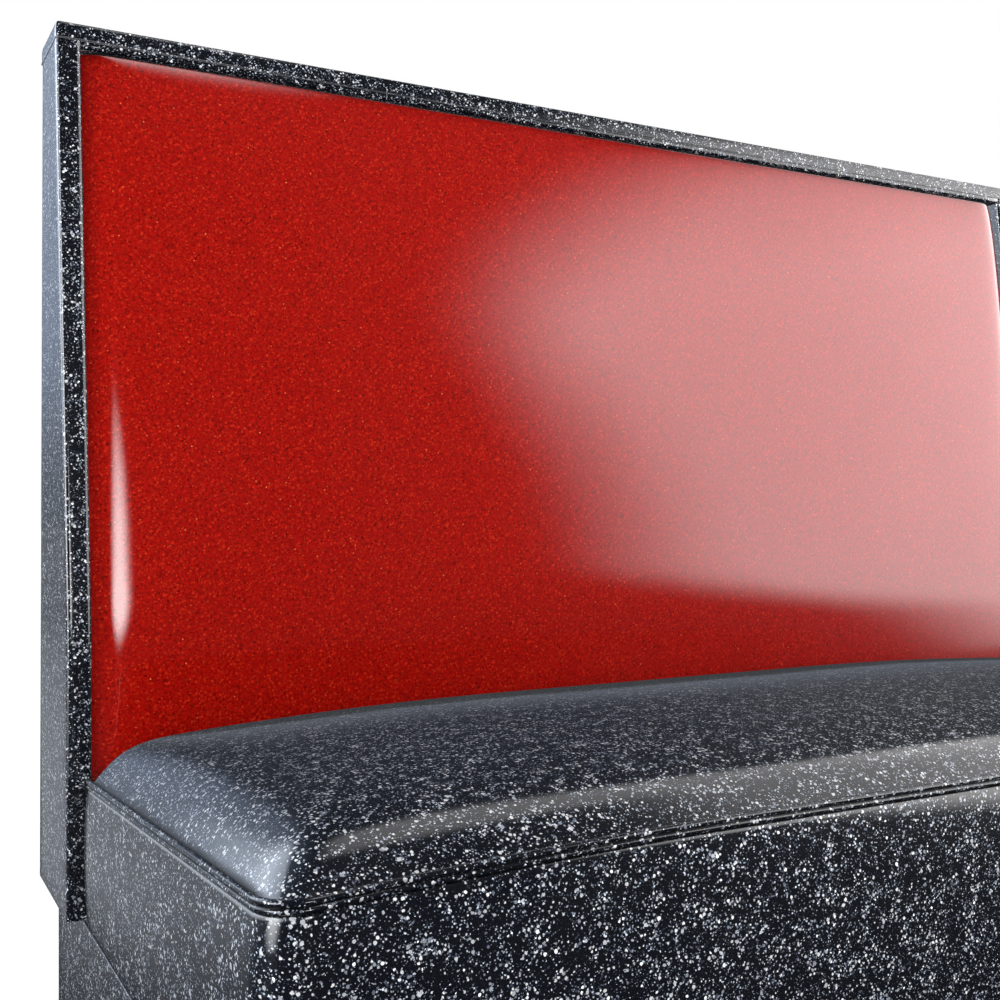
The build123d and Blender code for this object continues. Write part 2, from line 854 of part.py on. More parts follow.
with BuildPart() as back_bolt_nuts:
    with BuildSketch(Plane.XY.offset(panel_high - washer_thick)):
        with Locations(*bolt_places):
            RegularPolygon(nut_flats / 2, 6, major_radius=False)
            Circle(bolt_radius + thread_fit, mode=Mode.SUBTRACT)
    extrude(amount=-nut_height)
save(back_bolt_nuts, "back_bolt_nuts")
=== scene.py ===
import json
import math

import bmesh
import bpy
import numpy as np
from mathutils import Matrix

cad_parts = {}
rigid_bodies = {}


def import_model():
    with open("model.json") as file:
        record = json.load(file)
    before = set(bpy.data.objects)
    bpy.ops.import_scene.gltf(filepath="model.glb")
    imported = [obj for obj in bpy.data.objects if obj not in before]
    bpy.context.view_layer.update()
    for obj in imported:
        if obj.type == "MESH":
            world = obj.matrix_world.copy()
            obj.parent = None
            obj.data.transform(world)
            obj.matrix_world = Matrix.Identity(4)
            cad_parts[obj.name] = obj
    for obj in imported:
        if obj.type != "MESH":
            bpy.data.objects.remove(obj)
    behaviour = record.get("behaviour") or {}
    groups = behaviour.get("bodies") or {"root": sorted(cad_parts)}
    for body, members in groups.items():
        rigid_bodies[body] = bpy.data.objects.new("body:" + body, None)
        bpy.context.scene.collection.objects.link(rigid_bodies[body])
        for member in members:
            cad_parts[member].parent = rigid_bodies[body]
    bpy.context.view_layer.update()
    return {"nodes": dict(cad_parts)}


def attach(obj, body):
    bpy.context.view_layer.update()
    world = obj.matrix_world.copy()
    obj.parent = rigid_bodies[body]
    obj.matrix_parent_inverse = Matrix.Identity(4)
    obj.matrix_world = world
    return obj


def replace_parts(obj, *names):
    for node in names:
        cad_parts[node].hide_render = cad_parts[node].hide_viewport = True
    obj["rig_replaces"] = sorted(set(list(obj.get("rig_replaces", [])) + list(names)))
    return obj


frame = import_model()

MM = 0.001

# Sizes of the booth in metres, as the source has them
HALF_BENCH = 609.5 * MM
BENCH_TOP = 1067 * MM
VINYL = 1.2 * MM
BOARD = 18 * MM
FRONT_FACE = 166 * MM
REAR_FACE = 317 * MM
BEND_LEVEL = 545 * MM
RAKE = 54 * MM
REAR_LEAN = 18 * MM
BACK_UNDERSIDE = 295 * MM
CAP_SEAM = 1056 * MM
BAND_EDGE = 1044.6 * MM
END_INNER = HALF_BENCH - VINYL - BOARD
BASE_HALF = 592.5 * MM
BASE_TOP = 286.7 * MM
SEAT_UNDERSIDE = 287 * MM
SEAT_REAR = 165.2 * MM
SEAT_FRONT = -315 * MM
BASE_FRONT = SEAT_FRONT + 89 * MM
SEAT_CORNER = 27 * MM
WELT_INSET = 1.5 * MM
BOXING = 3 * MM
SEAT_RAIL = 25 * MM
RAIL_TOP = 380.8 * MM
GLIDE_BLOCK = 42 * MM
SPRING_WIRE = 1.8 * MM

# The cap's hem hangs a little below the seam of the source, as the photograph has it close up
CAP_HEM = 1051 * MM

BLACK_SLOT = "black_glitter_vinyl"


def share(value, low, high):
    """Where a value lies between two limits, from 0 to 1."""
    return min(max((value - low) / (high - low), 0.0), 1.0)


def front_at(z):
    """Y of the back's front face at a height, with the bend eased over a short length."""
    ease = 31 * MM
    slope = RAKE / (BENCH_TOP - BEND_LEVEL)
    over = z - (BEND_LEVEL - ease)
    if over <= 0:
        return FRONT_FACE
    if over < 2 * ease:
        return FRONT_FACE + slope * over * over / (4 * ease)
    return FRONT_FACE + slope * (z - BEND_LEVEL)


def rear_at(z):
    """Y of the back's rear face at a height."""
    return REAR_FACE - REAR_LEAN * (z - BACK_UNDERSIDE) / (BENCH_TOP - BACK_UNDERSIDE)


# Materials


def add(tree, kind, terms=(), **settings):
    """Adds a node; each term of an input is a socket, which is linked, or a plain value."""
    node = tree.nodes.new(kind)
    for key, value in settings.items():
        setattr(node, key, value)
    for key, term in dict(terms).items():
        if isinstance(term, bpy.types.NodeSocket):
            tree.links.new(term, node.inputs[key])
        else:
            node.inputs[key].default_value = term
    return node


def material_tree(name):
    """A new node material; returns it with its tree, its shader and the piece's own coordinates."""
    material = bpy.data.materials.new(name)
    material.use_nodes = True
    tree = material.node_tree
    tree.nodes.clear()
    shader = add(tree, "ShaderNodeBsdfPrincipled")
    add(tree, "ShaderNodeOutputMaterial", {"Surface": shader.outputs["BSDF"]})
    return material, tree, shader, add(tree, "ShaderNodeTexCoord").outputs["Object"]


def dress(tree, shader, **sockets):
    """Links sockets into a shader's inputs; the keys are their names with underscores for spaces."""
    for key, socket in sockets.items():
        tree.links.new(socket, shader.inputs[key.replace("_", " ")])


def preset(shader, values):
    """Sets a shader's uniform values."""
    for key, value in values.items():
        shader.inputs[key].default_value = value


def texture(tree, kind, place, values, **settings):
    """A procedural texture's value at a place."""
    return add(tree, "ShaderNodeTex" + kind, {"Vector": place, **values}, **settings).outputs["Fac"]


def noise(tree, place, scale, detail=3.0, rough=0.5):
    """Soft noise of a given scale per metre."""
    return texture(tree, "Noise", place, {"Scale": scale, "Detail": detail, "Roughness": rough})


def mapped(tree, socket, low, high, to_low=0.0, to_high=1.0, smooth=False):
    """A value mapped from one range to another."""
    kind = "SMOOTHSTEP" if smooth else "LINEAR"
    terms = {"Value": socket, "From Min": low, "From Max": high, "To Min": to_low, "To Max": to_high}
    return add(tree, "ShaderNodeMapRange", terms, interpolation_type=kind).outputs["Result"]


def calc(tree, operation, *terms):
    """One sum on values; each term may be a socket or a number."""
    return add(tree, "ShaderNodeMath", dict(enumerate(terms)), operation=operation).outputs[0]


def times(tree, first, second):
    """The product of two values."""
    return calc(tree, "MULTIPLY", first, second)


def vector(tree, operation, terms):
    """One sum on vectors."""
    return add(tree, "ShaderNodeVectorMath", terms, operation=operation).outputs[0]


def blended(tree, factor, first, second, blend="MIX"):
    """Two colours mixed by a factor; each term may be a socket or a colour."""
    first, second = ((*term, 1.0) if isinstance(term, tuple) else term for term in (first, second))
    terms = {0: factor, 6: first, 7: second}
    return add(tree, "ShaderNodeMix", terms, data_type="RGBA", blend_type=blend).outputs[2]


def bump(tree, height, strength, distance, normal=None):
    """Fine relief from a height, on top of another normal if one is given."""
    terms = {"Height": height, "Strength": strength, "Distance": distance}
    if normal is not None:
        terms["Normal"] = normal
    return add(tree, "ShaderNodeBump", terms).outputs[0]


def centred(tree, socket):
    """A random colour turned into a direction that may point either way."""
    return vector(tree, "SUBTRACT", {0: socket, 1: (0.5, 0.5, 0.5)})


def ragged(tree, place, amount):
    """A place pushed about by fine noise, so that spots lose their round outline."""
    push = add(tree, "ShaderNodeTexNoise", {"Vector": place, "Scale": 900, "Detail": 1.0})
    pushed = vector(tree, "SCALE", {0: centred(tree, push.outputs["Color"]), "Scale": amount})
    return vector(tree, "ADD", {0: place, 1: pushed})


def fleck_layer(tree, place, cell, kept, small, large, clumps=None):
    """Glitter flecks: a mask, a random brightness and a random tilt for each cell.

    The cells are turned askew, so that no face of the booth cuts them in rows.
    """
    askew = add(tree, "ShaderNodeMapping", {"Vector": place, "Rotation": (0.62, 0.47, 0.35)})
    cells = add(
        tree, "ShaderNodeTexVoronoi", {"Vector": askew.outputs[0], "Scale": 1 / cell, "Randomness": 1.0}
    )
    parts = add(tree, "ShaderNodeSeparateColor", {"Color": cells.outputs["Color"]})
    chance = parts.outputs["Red"]
    reach = mapped(tree, chance, 1 - kept, 1, small / cell, large / cell)
    reach = times(tree, reach, calc(tree, "GREATER_THAN", chance, 1 - kept))
    if clumps is not None:
        reach = times(tree, reach, clumps)
    edge = calc(tree, "SUBTRACT", reach, cells.outputs["Distance"])
    return mapped(tree, edge, 0.0, 0.06), parts.outputs["Green"], cells.outputs["Color"]


def black_glitter():
    """Black vinyl with silver glitter under a clear glossy skin."""
    material, tree, shader, place = material_tree("black_glitter_vinyl_skin")
    torn = ragged(tree, place, 1.25 * MM)
    clumps = mapped(tree, noise(tree, place, 105, 2.0, 0.6), 0.36, 0.64, 0.55, 1.12)
    coarse, coarse_light, coarse_tilt = fleck_layer(
        tree, torn, 3.0 * MM, 0.88, 0.4 * MM, 1.42 * MM, clumps
    )
    fine, fine_light, fine_tilt = fleck_layer(tree, torn, 1.6 * MM, 0.95, 0.3 * MM, 0.85 * MM, clumps)
    flecks = calc(tree, "MAXIMUM", fine, coarse)

    dust = mapped(tree, noise(tree, place, 1400, 2.0, 0.6), 0.55, 0.8)
    fine_light = calc(tree, "POWER", fine_light, 2.4)
    coarse_light = calc(tree, "POWER", coarse_light, 0.9)
    colour = blended(tree, dust, (0.0018, 0.0026, 0.005), (0.01, 0.013, 0.021))
    colour = blended(tree, fine, colour, blended(tree, fine_light, (0.03, 0.04, 0.065), (0.8, 0.88, 1.0)))
    colour = blended(tree, coarse, colour, blended(tree, coarse_light, (0.1, 0.125, 0.18), (1.0, 1.0, 1.0)))
    # Painted shade: where a piece marks its grooves, seams and hidden undersides, the colour goes near
    # black.
    crease = add(tree, "ShaderNodeAttribute", attribute_name="crease").outputs["Fac"]
    colour = blended(tree, crease, colour, (0.001, 0.001, 0.0015))
    # Painted highlight: a pale line where a piece marks a rolled edge or fold that catches the light.
    cut_edge = add(tree, "ShaderNodeAttribute", attribute_name="cut_edge").outputs["Fac"]
    colour = blended(tree, cut_edge, colour, (0.3, 0.31, 0.33))

    skin = bump(tree, noise(tree, place, 420, 2.0, 0.5), 0.05, 0.2 * MM)
    tilt = centred(tree, blended(tree, coarse, fine_tilt, coarse_tilt))
    leaned = vector(tree, "SCALE", {0: tilt, "Scale": mapped(tree, flecks, 0, 1, 0.0, 0.9)})
    turned = vector(tree, "ADD", {0: skin, 1: leaned})
    # The clear coat is taken off where shade is painted, so the grooves show no reflection.
    dress(
        tree,
        shader,
        Base_Color=colour,
        Coat_Weight=calc(tree, "SUBTRACT", 1.0, crease),
        Metallic=mapped(tree, flecks, 0, 1, 0.0, 0.25),
        Roughness=mapped(tree, noise(tree, place, 9, 3.0, 0.55), 0.3, 0.7, 0.3, 0.44),
        Normal=vector(tree, "NORMALIZE", {0: turned}),
        Coat_Normal=bump(tree, noise(tree, place, 38, 1.5, 0.45), 0.08, 1.2 * MM, skin),
    )
    preset(shader, {"IOR": 1.45, "Specular IOR Level": 0.1, "Coat Roughness": 0.06, "Coat IOR": 1.5})
    return material


def red_glitter():
    """Red vinyl with fine glitter, a shade lighter and darker from fleck to fleck."""
    material, tree, shader, place = material_tree("red_glitter_vinyl_skin")
    torn = ragged(tree, place, 1.2 * MM)
    bright, bright_light, _ = fleck_layer(tree, torn, 4.6 * MM, 0.55, 0.3 * MM, 0.85 * MM)
    fine, fine_light, _ = fleck_layer(tree, torn, 2.4 * MM, 0.9, 0.6 * MM, 1.4 * MM)
    mottle = mapped(tree, noise(tree, place, 420, 3.0, 0.7), 0.35, 0.65)
    ground = blended(tree, mottle, (0.2, 0.0012, 0.0008), (0.42, 0.005, 0.0025))
    fine_colour = blended(tree, fine_light, (0.065, 0.0006, 0.0005), (0.64, 0.024, 0.007))
    bright_light = calc(tree, "POWER", bright_light, 2.0)
    bright_colour = blended(tree, bright_light, (0.6, 0.02, 0.01), (0.95, 0.22, 0.07))
    colour = blended(tree, times(tree, fine, 0.75), ground, fine_colour)
    colour = blended(tree, times(tree, bright, 0.85), colour, bright_colour)
    skin = bump(tree, noise(tree, place, 420, 2.0, 0.5), 0.04, 0.2 * MM)
    dress(
        tree,
        shader,
        Base_Color=colour,
        Roughness=mapped(tree, noise(tree, place, 7, 3.0, 0.55), 0.3, 0.7, 0.34, 0.46),
        Normal=skin,
        Coat_Normal=bump(tree, noise(tree, place, 16, 1.0, 0.4), 0.05, 1.5 * MM, skin),
    )
    preset(shader, {"Specular IOR Level": 0.25, "Specular Tint": (1.0, 0.05, 0.02, 1.0)})
    preset(shader, {"Coat Weight": 1.0, "Coat Roughness": 0.07, "Coat IOR": 1.55})
    return material


def plain_look(parts, colour, height, low_rough, high_rough, relief):
    """Gives a finish its colour, a roughness that follows its height, and a fine relief."""
    material, tree, shader, _ = parts
    roughness = mapped(tree, height, 0.2, 0.8, low_rough, high_rough)
    dress(tree, shader, Base_Color=colour, Roughness=roughness, Normal=bump(tree, height, *relief))
    return material


def plywood_finish():
    """Birch plywood: pale face grain, and the plies' lines where the edge shows."""
    parts = material_tree("birch_plywood")
    _, tree, _, place = parts
    stretched = add(tree, "ShaderNodeMapping", {"Vector": place, "Scale": (14, 60, 60)}).outputs[0]
    coarse = {"Scale": 2.2, "Detail": 6.0, "Roughness": 0.65, "Distortion": 0.8}
    grain = texture(tree, "Noise", stretched, coarse)
    lines = {"Scale": 85.0, "Distortion": 0.6, "Detail": 1.0}
    plies = texture(tree, "Wave", place, lines, wave_type="BANDS", bands_direction="DIAGONAL")
    face = blended(tree, mapped(tree, grain, 0.3, 0.7), (0.62, 0.44, 0.26), (0.78, 0.6, 0.4))
    colour = blended(tree, times(tree, plies, 0.35), face, (0.42, 0.27, 0.14))
    return plain_look(parts, colour, grain, 0.5, 0.68, (0.25, 0.3 * MM))


def timber_finish(name, light, ring, pore):
    """Planed softwood with long grain and a few darker rings."""
    parts = material_tree(name)
    _, tree, _, place = parts
    stretched = add(tree, "ShaderNodeMapping", {"Vector": place, "Scale": (3, 26, 26)}).outputs[0]
    waves = {"Scale": 3.2, "Distortion": 5.0, "Detail": 3.0, "Detail Scale": 1.4}
    rings = texture(tree, "Wave", stretched, waves)
    fibre = noise(tree, stretched, 24.0, 4.0, 0.7)
    colour = blended(tree, mapped(tree, rings, 0.2, 0.9), light, ring)
    colour = blended(tree, mapped(tree, fibre, 0.35, 0.75, 0, 0.4), colour, pore)
    return plain_look(parts, colour, fibre, 0.5, 0.7, (0.3, 0.25 * MM))


def hardboard_finish():
    """Brown hardboard: a fine pressed fibre."""
    parts = material_tree("brown_hardboard")
    _, tree, _, place = parts
    fibre = noise(tree, place, 350, 5.0, 0.7)
    cloud = mapped(tree, noise(tree, place, 12, 3.0, 0.5), 0.3, 0.7, 0, 0.4)
    colour = blended(tree, fibre, (0.14, 0.075, 0.035), (0.3, 0.18, 0.095))
    colour = blended(tree, cloud, colour, (0.2, 0.12, 0.06))
    return plain_look(parts, colour, fibre, 0.5, 0.8, (0.3, 0.2 * MM))


def cloth_finish(name, dark, light, thread, relief):
    """Woven or felted cloth: crossed threads with loose fibres."""
    material, tree, shader, place = material_tree(name)
    lines = {"Scale": 1 / thread, "Distortion": 1.2, "Detail": 1.0}
    along, across = (
        texture(tree, "Wave", place, lines, wave_type="BANDS", bands_direction=way) for way in "XY"
    )
    fibre = noise(tree, place, 900, 4.0, 0.7)
    loose = times(tree, fibre, 0.8)
    height = calc(tree, "ADD", times(tree, along, across), loose)
    dress(
        tree,
        shader,
        Base_Color=blended(tree, mapped(tree, height, 0.2, 1.2), dark, light),
        Roughness=mapped(tree, fibre, 0.2, 0.8, 0.75, 0.95),
        Normal=bump(tree, height, relief, 0.4 * MM),
    )
    preset(shader, {"Sheen Weight": 0.25})
    return material


def metal_finish(name, dark, light, low_rough, high_rough, scale):
    """Steel with a drawn or plated surface, a little duller in patches."""
    material, tree, shader, place = material_tree(name)
    patches = noise(tree, place, scale, 4.0, 0.6)
    streaks = noise(tree, place, scale * 9, 2.0, 0.5)
    dull = mapped(tree, patches, 0.3, 0.7, low_rough, high_rough)
    dress(
        tree,
        shader,
        Base_Color=blended(tree, mapped(tree, patches, 0.3, 0.7), dark, light),
        Roughness=calc(tree, "ADD", dull, times(tree, streaks, 0.08)),
        Normal=bump(tree, streaks, 0.12, 0.1 * MM),
    )
    preset(shader, {"Metallic": 1.0})
    return material


def moulded_plastic():
    """Dark moulded plastic of the floor glides, scuffed by the floor."""
    parts = material_tree("moulded_glide_plastic")
    _, tree, _, place = parts
    scuffs = noise(tree, place, 260, 5.0, 0.7)
    colour = blended(tree, mapped(tree, scuffs, 0.45, 0.8), (0.03, 0.03, 0.032), (0.12, 0.12, 0.12))
    return plain_look(parts, colour, scuffs, 0.35, 0.65, (0.2, 0.2 * MM))


black_vinyl = black_glitter()
red_vinyl = red_glitter()
plywood = plywood_finish()
timber = timber_finish("planed_timber", (0.72, 0.52, 0.3), (0.55, 0.35, 0.17), (0.4, 0.24, 0.11))
# Painted shade: the sole plate shows through the gap under the end wraps and is made near black so that the
# gap reads dark.
shade_dark_timber = timber_finish(
    "timber_darkened_as_shade", (0.03, 0.028, 0.026), (0.018, 0.016, 0.015), (0.008, 0.007, 0.007)
)
hardboard = hardboard_finish()
felt_wool = cloth_finish("grey_felt", (0.16, 0.155, 0.15), (0.42, 0.41, 0.4), 2.5 * MM, 0.5)
dust_weave = cloth_finish("black_dust_cloth", (0.012, 0.012, 0.013), (0.06, 0.06, 0.063), 0.9 * MM, 0.4)
spring_steel = metal_finish("oiled_spring_steel", (0.16, 0.16, 0.17), (0.34, 0.34, 0.36), 0.28, 0.45, 40)
zinc = metal_finish("zinc_plate", (0.5, 0.51, 0.53), (0.74, 0.75, 0.76), 0.25, 0.42, 90)
glide_plastic = moulded_plastic()


# Mesh work


def piece_from(name, points, faces, material, smooth=True):
    """A mesh object at the origin from points and faces."""
    mesh = bpy.data.meshes.new(name)
    mesh.from_pydata([tuple(p) for p in points], [], faces)
    mesh.validate()
    mesh.polygons.foreach_set("use_smooth", [smooth] * len(mesh.polygons))
    mesh.materials.append(material)
    mesh.update()
    piece = bpy.data.objects.new(name, mesh)
    bpy.context.scene.collection.objects.link(piece)
    return piece


def grid_faces(rows, columns, closed=False, first=0):
    """Faces over rows of points, each row closed into a ring if asked."""
    faces = []
    for row in range(rows - 1):
        for column in range(columns if closed else columns - 1):
            a = first + row * columns + column
            b = first + row * columns + (column + 1) % columns
            faces.append((a, b, b + columns, a + columns))
    return faces
def marked(piece, name, values):
    """Stores a value from 0 to 1 on each point, which the vinyl's finish reads by its name."""
    piece.data.attributes.new(name, "FLOAT", "POINT").data.foreach_set("value", values)


def facing_out(piece, side=None):
    """Turns a closed mesh's faces outwards; a side such as -y says which way an open sheet looks."""
    work = bmesh.new()
    work.from_mesh(piece.data)
    bmesh.ops.recalc_face_normals(work, faces=work.faces)
    if side is not None:
        axis = "xyz".index(side[-1])
        sign = -1 if side.startswith("-") else 1
        outer = max(work.faces, key=lambda f: sign * f.calc_center_median()[axis])
        if outer.normal[axis] * sign < 0:
            bmesh.ops.reverse_faces(work, faces=work.faces)
    work.to_mesh(piece.data)
    work.free()
    return piece


def baked(piece):
    """The piece with its modifiers made part of its mesh."""
    bpy.context.view_layer.update()
    mesh = bpy.data.meshes.new_from_object(piece.evaluated_get(bpy.context.evaluated_depsgraph_get()))
    piece.modifiers.clear()
    piece.data = mesh
    return piece


def thickened(piece, thickness):
    """A sheet given its thickness inwards and baked, its faces outwards."""
    shell = piece.modifiers.new("thickness", "SOLIDIFY")
    shell.thickness = thickness
    shell.offset = -1.0
    shell.use_even_offset = False
    return facing_out(baked(piece))


def vinyl_sheet(name, points, columns, side, thickness, closed=False, top=(), **marks):
    """A vinyl sheet over rows of points, its outermost face on a side turned outwards."""
    faces = grid_faces(len(points) // columns, columns, closed) + list(top)
    piece = piece_from(name, points, faces, black_vinyl)
    for mark, values in marks.items():
        marked(piece, mark, values)
    return thickened(facing_out(piece, side), thickness)


def settle(piece, body, slot, *nodes):
    """Lets a piece ride on its body and stand for its nodes; the slot is not used."""
    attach(piece, body)
    if nodes:
        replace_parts(piece, *nodes)
    return piece


def round_turn(centre, radius, start, end, steps):
    """Points along an arc in a plane, angles in degrees."""
    points = []
    for step in range(steps + 1):
        angle = math.radians(start + (end - start) * step / steps)
        points.append((centre[0] + radius * math.cos(angle), centre[1] + radius * math.sin(angle)))
    return points


def turned_under(level, radius, angles):
    """Heights and insets of rows that turn under a lower edge; angles in degrees."""
    leans = [math.radians(angle) for angle in angles]
    return [(level + radius - radius * math.sin(a), radius * (1 - math.cos(a))) for a in leans]


def skirted(points, faces, rows, columns, moves):
    """Carries a sheet's rim on through rings of moved points and closes the last ring."""
    rim = list(range(columns)) + [j * columns + columns - 1 for j in range(1, rows)]
    rim += [(rows - 1) * columns + i for i in range(columns - 2, -1, -1)]
    rim += [j * columns for j in range(rows - 2, 0, -1)]
    previous = rim
    for move in moves:
        ring = list(range(len(points), len(points) + len(rim)))
        points += [move(*points[index]) for index in rim]
        for k in range(len(rim)):
            n = (k + 1) % len(rim)
            faces.append((previous[k], previous[n], ring[n], ring[k]))
        previous = ring
    faces.append(tuple(previous))


# Back: an end wrap round each end board


def end_section(z, inset):
    """Level path of the vinyl round a left end board, from the rear edge to the inner return."""
    outer = -HALF_BENCH + inset
    inner = -END_INNER + VINYL - inset
    front = front_at(z) + inset
    rear = rear_at(z) - inset
    radius = 4 * MM - min(inset, 3 * MM)
    path = [(inner - VINYL, rear), ((inner + outer) / 2, rear)]
    path += round_turn((outer + radius, rear - radius), radius, 90, 180, 5)
    path += [(outer, rear + (front - rear) * part) for part in (0.15, 0.3, 0.5, 0.7, 0.85)]
    path += round_turn((outer + radius, front + radius), radius, 180, 270, 6)
    path += [(outer + (inner - outer) * part, front) for part in (0.35, 0.5, 0.65)]
    path += round_turn((inner - radius, front + radius), radius, 270, 360, 6)
    path += [(inner, front + 12 * MM), (inner, front + 25 * MM)]
    return path


def end_wrap(name, side):
    """Vinyl wrapped round an end board and turned under its lower edge."""
    top = CAP_SEAM - 0.3 * MM
    levels = [top, top - 0.5 * MM, top - 1.2 * MM, top - 2.5 * MM]
    levels += [top - (CAP_SEAM - BACK_UNDERSIDE - 2.2 * MM) * step / 60 for step in range(1, 61)]
    rows = [(z, 0.0) for z in levels]
    underside = BACK_UNDERSIDE - 0.25 * MM
    rows += turned_under(underside, 1.6 * MM, (22, 45, 67, 90)) + [(underside, 6 * MM)]
    points = []
    for z, inset in rows:
        points += [(-side * x, y, z) for x, y in end_section(max(z, BACK_UNDERSIDE), inset)]
    return vinyl_sheet(name, points, len(points) // len(rows), "-x" if side < 0 else "x", VINYL * 0.9)


settle(end_wrap("left_end_wrap", -1), "frame", BLACK_SLOT, "back_left_cover")
settle(end_wrap("right_end_wrap", 1), "frame", BLACK_SLOT, "back_right_cover")


# Back: cap over the top with a rolled hem


def plan_ring(half, front, rear, radius, along=40, across=8):
    """Closed level outline with rounded corners, anticlockwise from the front left."""
    length, depth = 2 * half - 2 * radius, rear - front - 2 * radius
    ring = round_turn((-half + radius, front + radius), radius, 180, 270, 6)
    ring += [(-half + radius + length * i / along, front) for i in range(1, along)]
    ring += round_turn((half - radius, front + radius), radius, 270, 360, 6)
    ring += [(half, front + radius + depth * i / across) for i in range(1, across)]
    ring += round_turn((half - radius, rear - radius), radius, 0, 90, 6)
    ring += [(half - radius - length * i / along, rear) for i in range(1, along)]
    ring += round_turn((-half + radius, rear - radius), radius, 90, 180, 6)
    ring += [(-half, rear - radius - depth * i / across) for i in range(1, across)]
    return ring


def top_cap():
    """Vinyl cap with a rolled hem that stands just proud of the end wraps."""
    edge = 2.6 * MM
    hem = [(0.2, -0.3), (0.0, 0.2), (0.0, 0.6), (0.2, 1.0), (0.6, 1.2)]
    hem += [(1.0, 1.05), (1.3, 0.7), (1.6, 0.5), (2.6, 0.5)]
    # Painted highlight along the hem's lowest rows: a pale line where the fold catches the light.
    pale = [0.0, 0.6, 0.7, 0.35]
    rows = [(CAP_HEM + up * MM, -out * MM) for up, out in hem]
    rows += [(BENCH_TOP - edge - 3 * MM, -0.4 * MM), (BENCH_TOP - edge - 1 * MM, -0.15 * MM)]
    for angle in (0, 18, 36, 54, 72, 90):
        lean = math.radians(angle)
        rows.append((BENCH_TOP - edge + edge * math.sin(lean), edge * (1 - math.cos(lean))))
    rows += [(BENCH_TOP, edge + inset * MM) for inset in (3, 18, 33)]
    points = []
    for z, inset in rows:
        radius = max(3 * MM - max(inset, 0) * 0.6, 1.2 * MM)
        ring = plan_ring(HALF_BENCH - inset, front_at(z) + inset, rear_at(z) - inset, radius)
        points += [(x, y, z) for x, y in ring]
    columns = len(points) // len(rows)
    top = tuple(range(len(points) - columns, len(points)))
    pale += [0.0] * (len(rows) - len(pale))
    cut_edge = [value for value in pale for _ in range(columns)]
    return vinyl_sheet("top_cap_cover", points, columns, "z", VINYL * 0.85, True, [top], cut_edge=cut_edge)


settle(top_cap(), "frame", BLACK_SLOT, "back_top_cap")


def top_band():
    """Vinyl over the top rail's front, rolled under its lower edge."""
    half = END_INNER - 0.1 * MM
    edge = 3.5 * MM
    margin = 0.9 * MM
    low = BAND_EDGE
    section = [(front_at(CAP_SEAM) + 1.0 * MM, CAP_SEAM + 0.6 * MM)]
    section += [(front_at(CAP_SEAM) + 0.1 * MM, CAP_SEAM - 0.6 * MM)]
    section += [(front_at(low + edge + 2 * MM), low + edge + 2 * MM)]
    centre = (front_at(low + edge) + edge, low + edge)
    section += round_turn(centre, edge, 180, 270, 6)
    section += [(centre[0] + 10 * MM, low), (centre[0] + 20 * MM, low)]
    places = [(-half, 6 * MM), (-half, margin)]
    places += [(-half + margin + 2 * (half - margin) * i / 56, 0.0) for i in range(57)]
    places += [(half, margin), (half, 6 * MM)]
    points = [(x, y + back, z) for y, z in section for x, back in places]
    return vinyl_sheet("top_band_cover", points, len(places), "-y", VINYL * 0.9)


settle(top_band(), "frame", BLACK_SLOT, "back_top_band")


# Soft shapes: how far a pinned cover swells, found with a cloth simulation


def swelling(name, width, height, cells):
    """Heights of a cover pinned round its edge and blown up, from 0 at the edge to 1, as a grid."""
    nx, ny = cells
    xs = np.linspace(0, 1, nx)
    ys = np.linspace(0, 1, ny)
    plain = np.outer(np.sin(ys * math.pi) ** 0.7, np.sin(xs * math.pi) ** 0.7)
    points = [(width * x, height * y, 0.0) for y in ys for x in xs]
    sheet = piece_from(name, points, grid_faces(ny, nx), black_vinyl)
    pins = sheet.vertex_groups.new(name="edge")
    rim = [j * nx + i for j in range(ny) for i in range(nx) if i in (0, nx - 1) or j in (0, ny - 1)]
    pins.add(rim, 1.0, "REPLACE")
    cloth = sheet.modifiers.new("cloth", "CLOTH")
    settings = {
        "quality": 6,
        "mass": 0.4,
        "tension_stiffness": 12,
        "compression_stiffness": 12,
        "bending_stiffness": 4,
        "use_pressure": True,
        "uniform_pressure_force": 4,
        "vertex_group_mass": "edge",
    }
    for key, value in settings.items():
        setattr(cloth.settings, key, value)
    cloth.settings.effector_weights.gravity = 0
    cloth.point_cache.frame_start = 1
    cloth.point_cache.frame_end = 20
    scene = bpy.context.scene
    for step in range(1, 21):
        scene.frame_set(step)
    result = sheet.evaluated_get(bpy.context.evaluated_depsgraph_get())
    heights = np.abs([v.co.z for v in result.data.vertices]).reshape(ny, nx)
    bpy.data.objects.remove(sheet)
    scene.frame_set(1)
    for _ in range(3):
        inner = heights[1:-1, 1:-1]
        around = heights[:-2, 1:-1] + heights[2:, 1:-1] + heights[1:-1, :-2] + heights[1:-1, 2:]
        heights[1:-1, 1:-1] = inner * 0.5 + around * 0.125
    top = heights.max()
    return heights / top if top >= 1e-5 else plain


def looked_up(field, across, up):
    """A swelling's height at shares across and up, read smoothly between its grid points."""
    ny, nx = field.shape
    x = min(max(across, 0), 1) * (nx - 1)
    y = min(max(up, 0), 1) * (ny - 1)
    i, j = min(int(x), nx - 2), min(int(y), ny - 2)
    u, v = x - i, y - j
    low = field[j, i] * (1 - u) + field[j, i + 1] * u
    high = field[j + 1, i] * (1 - u) + field[j + 1, i + 1] * u
    return low * (1 - v) + high * v


def stations(length, edge, pitch):
    """Places along a length: close together at both ends, then an even pitch."""
    middle = length - 2 * edge[-1]
    count = max(round(middle / pitch), 2)
    even = [edge[-1] + middle * i / count for i in range(1, count)]
    return edge + even + [length - e for e in reversed(edge)]


# Back cushion

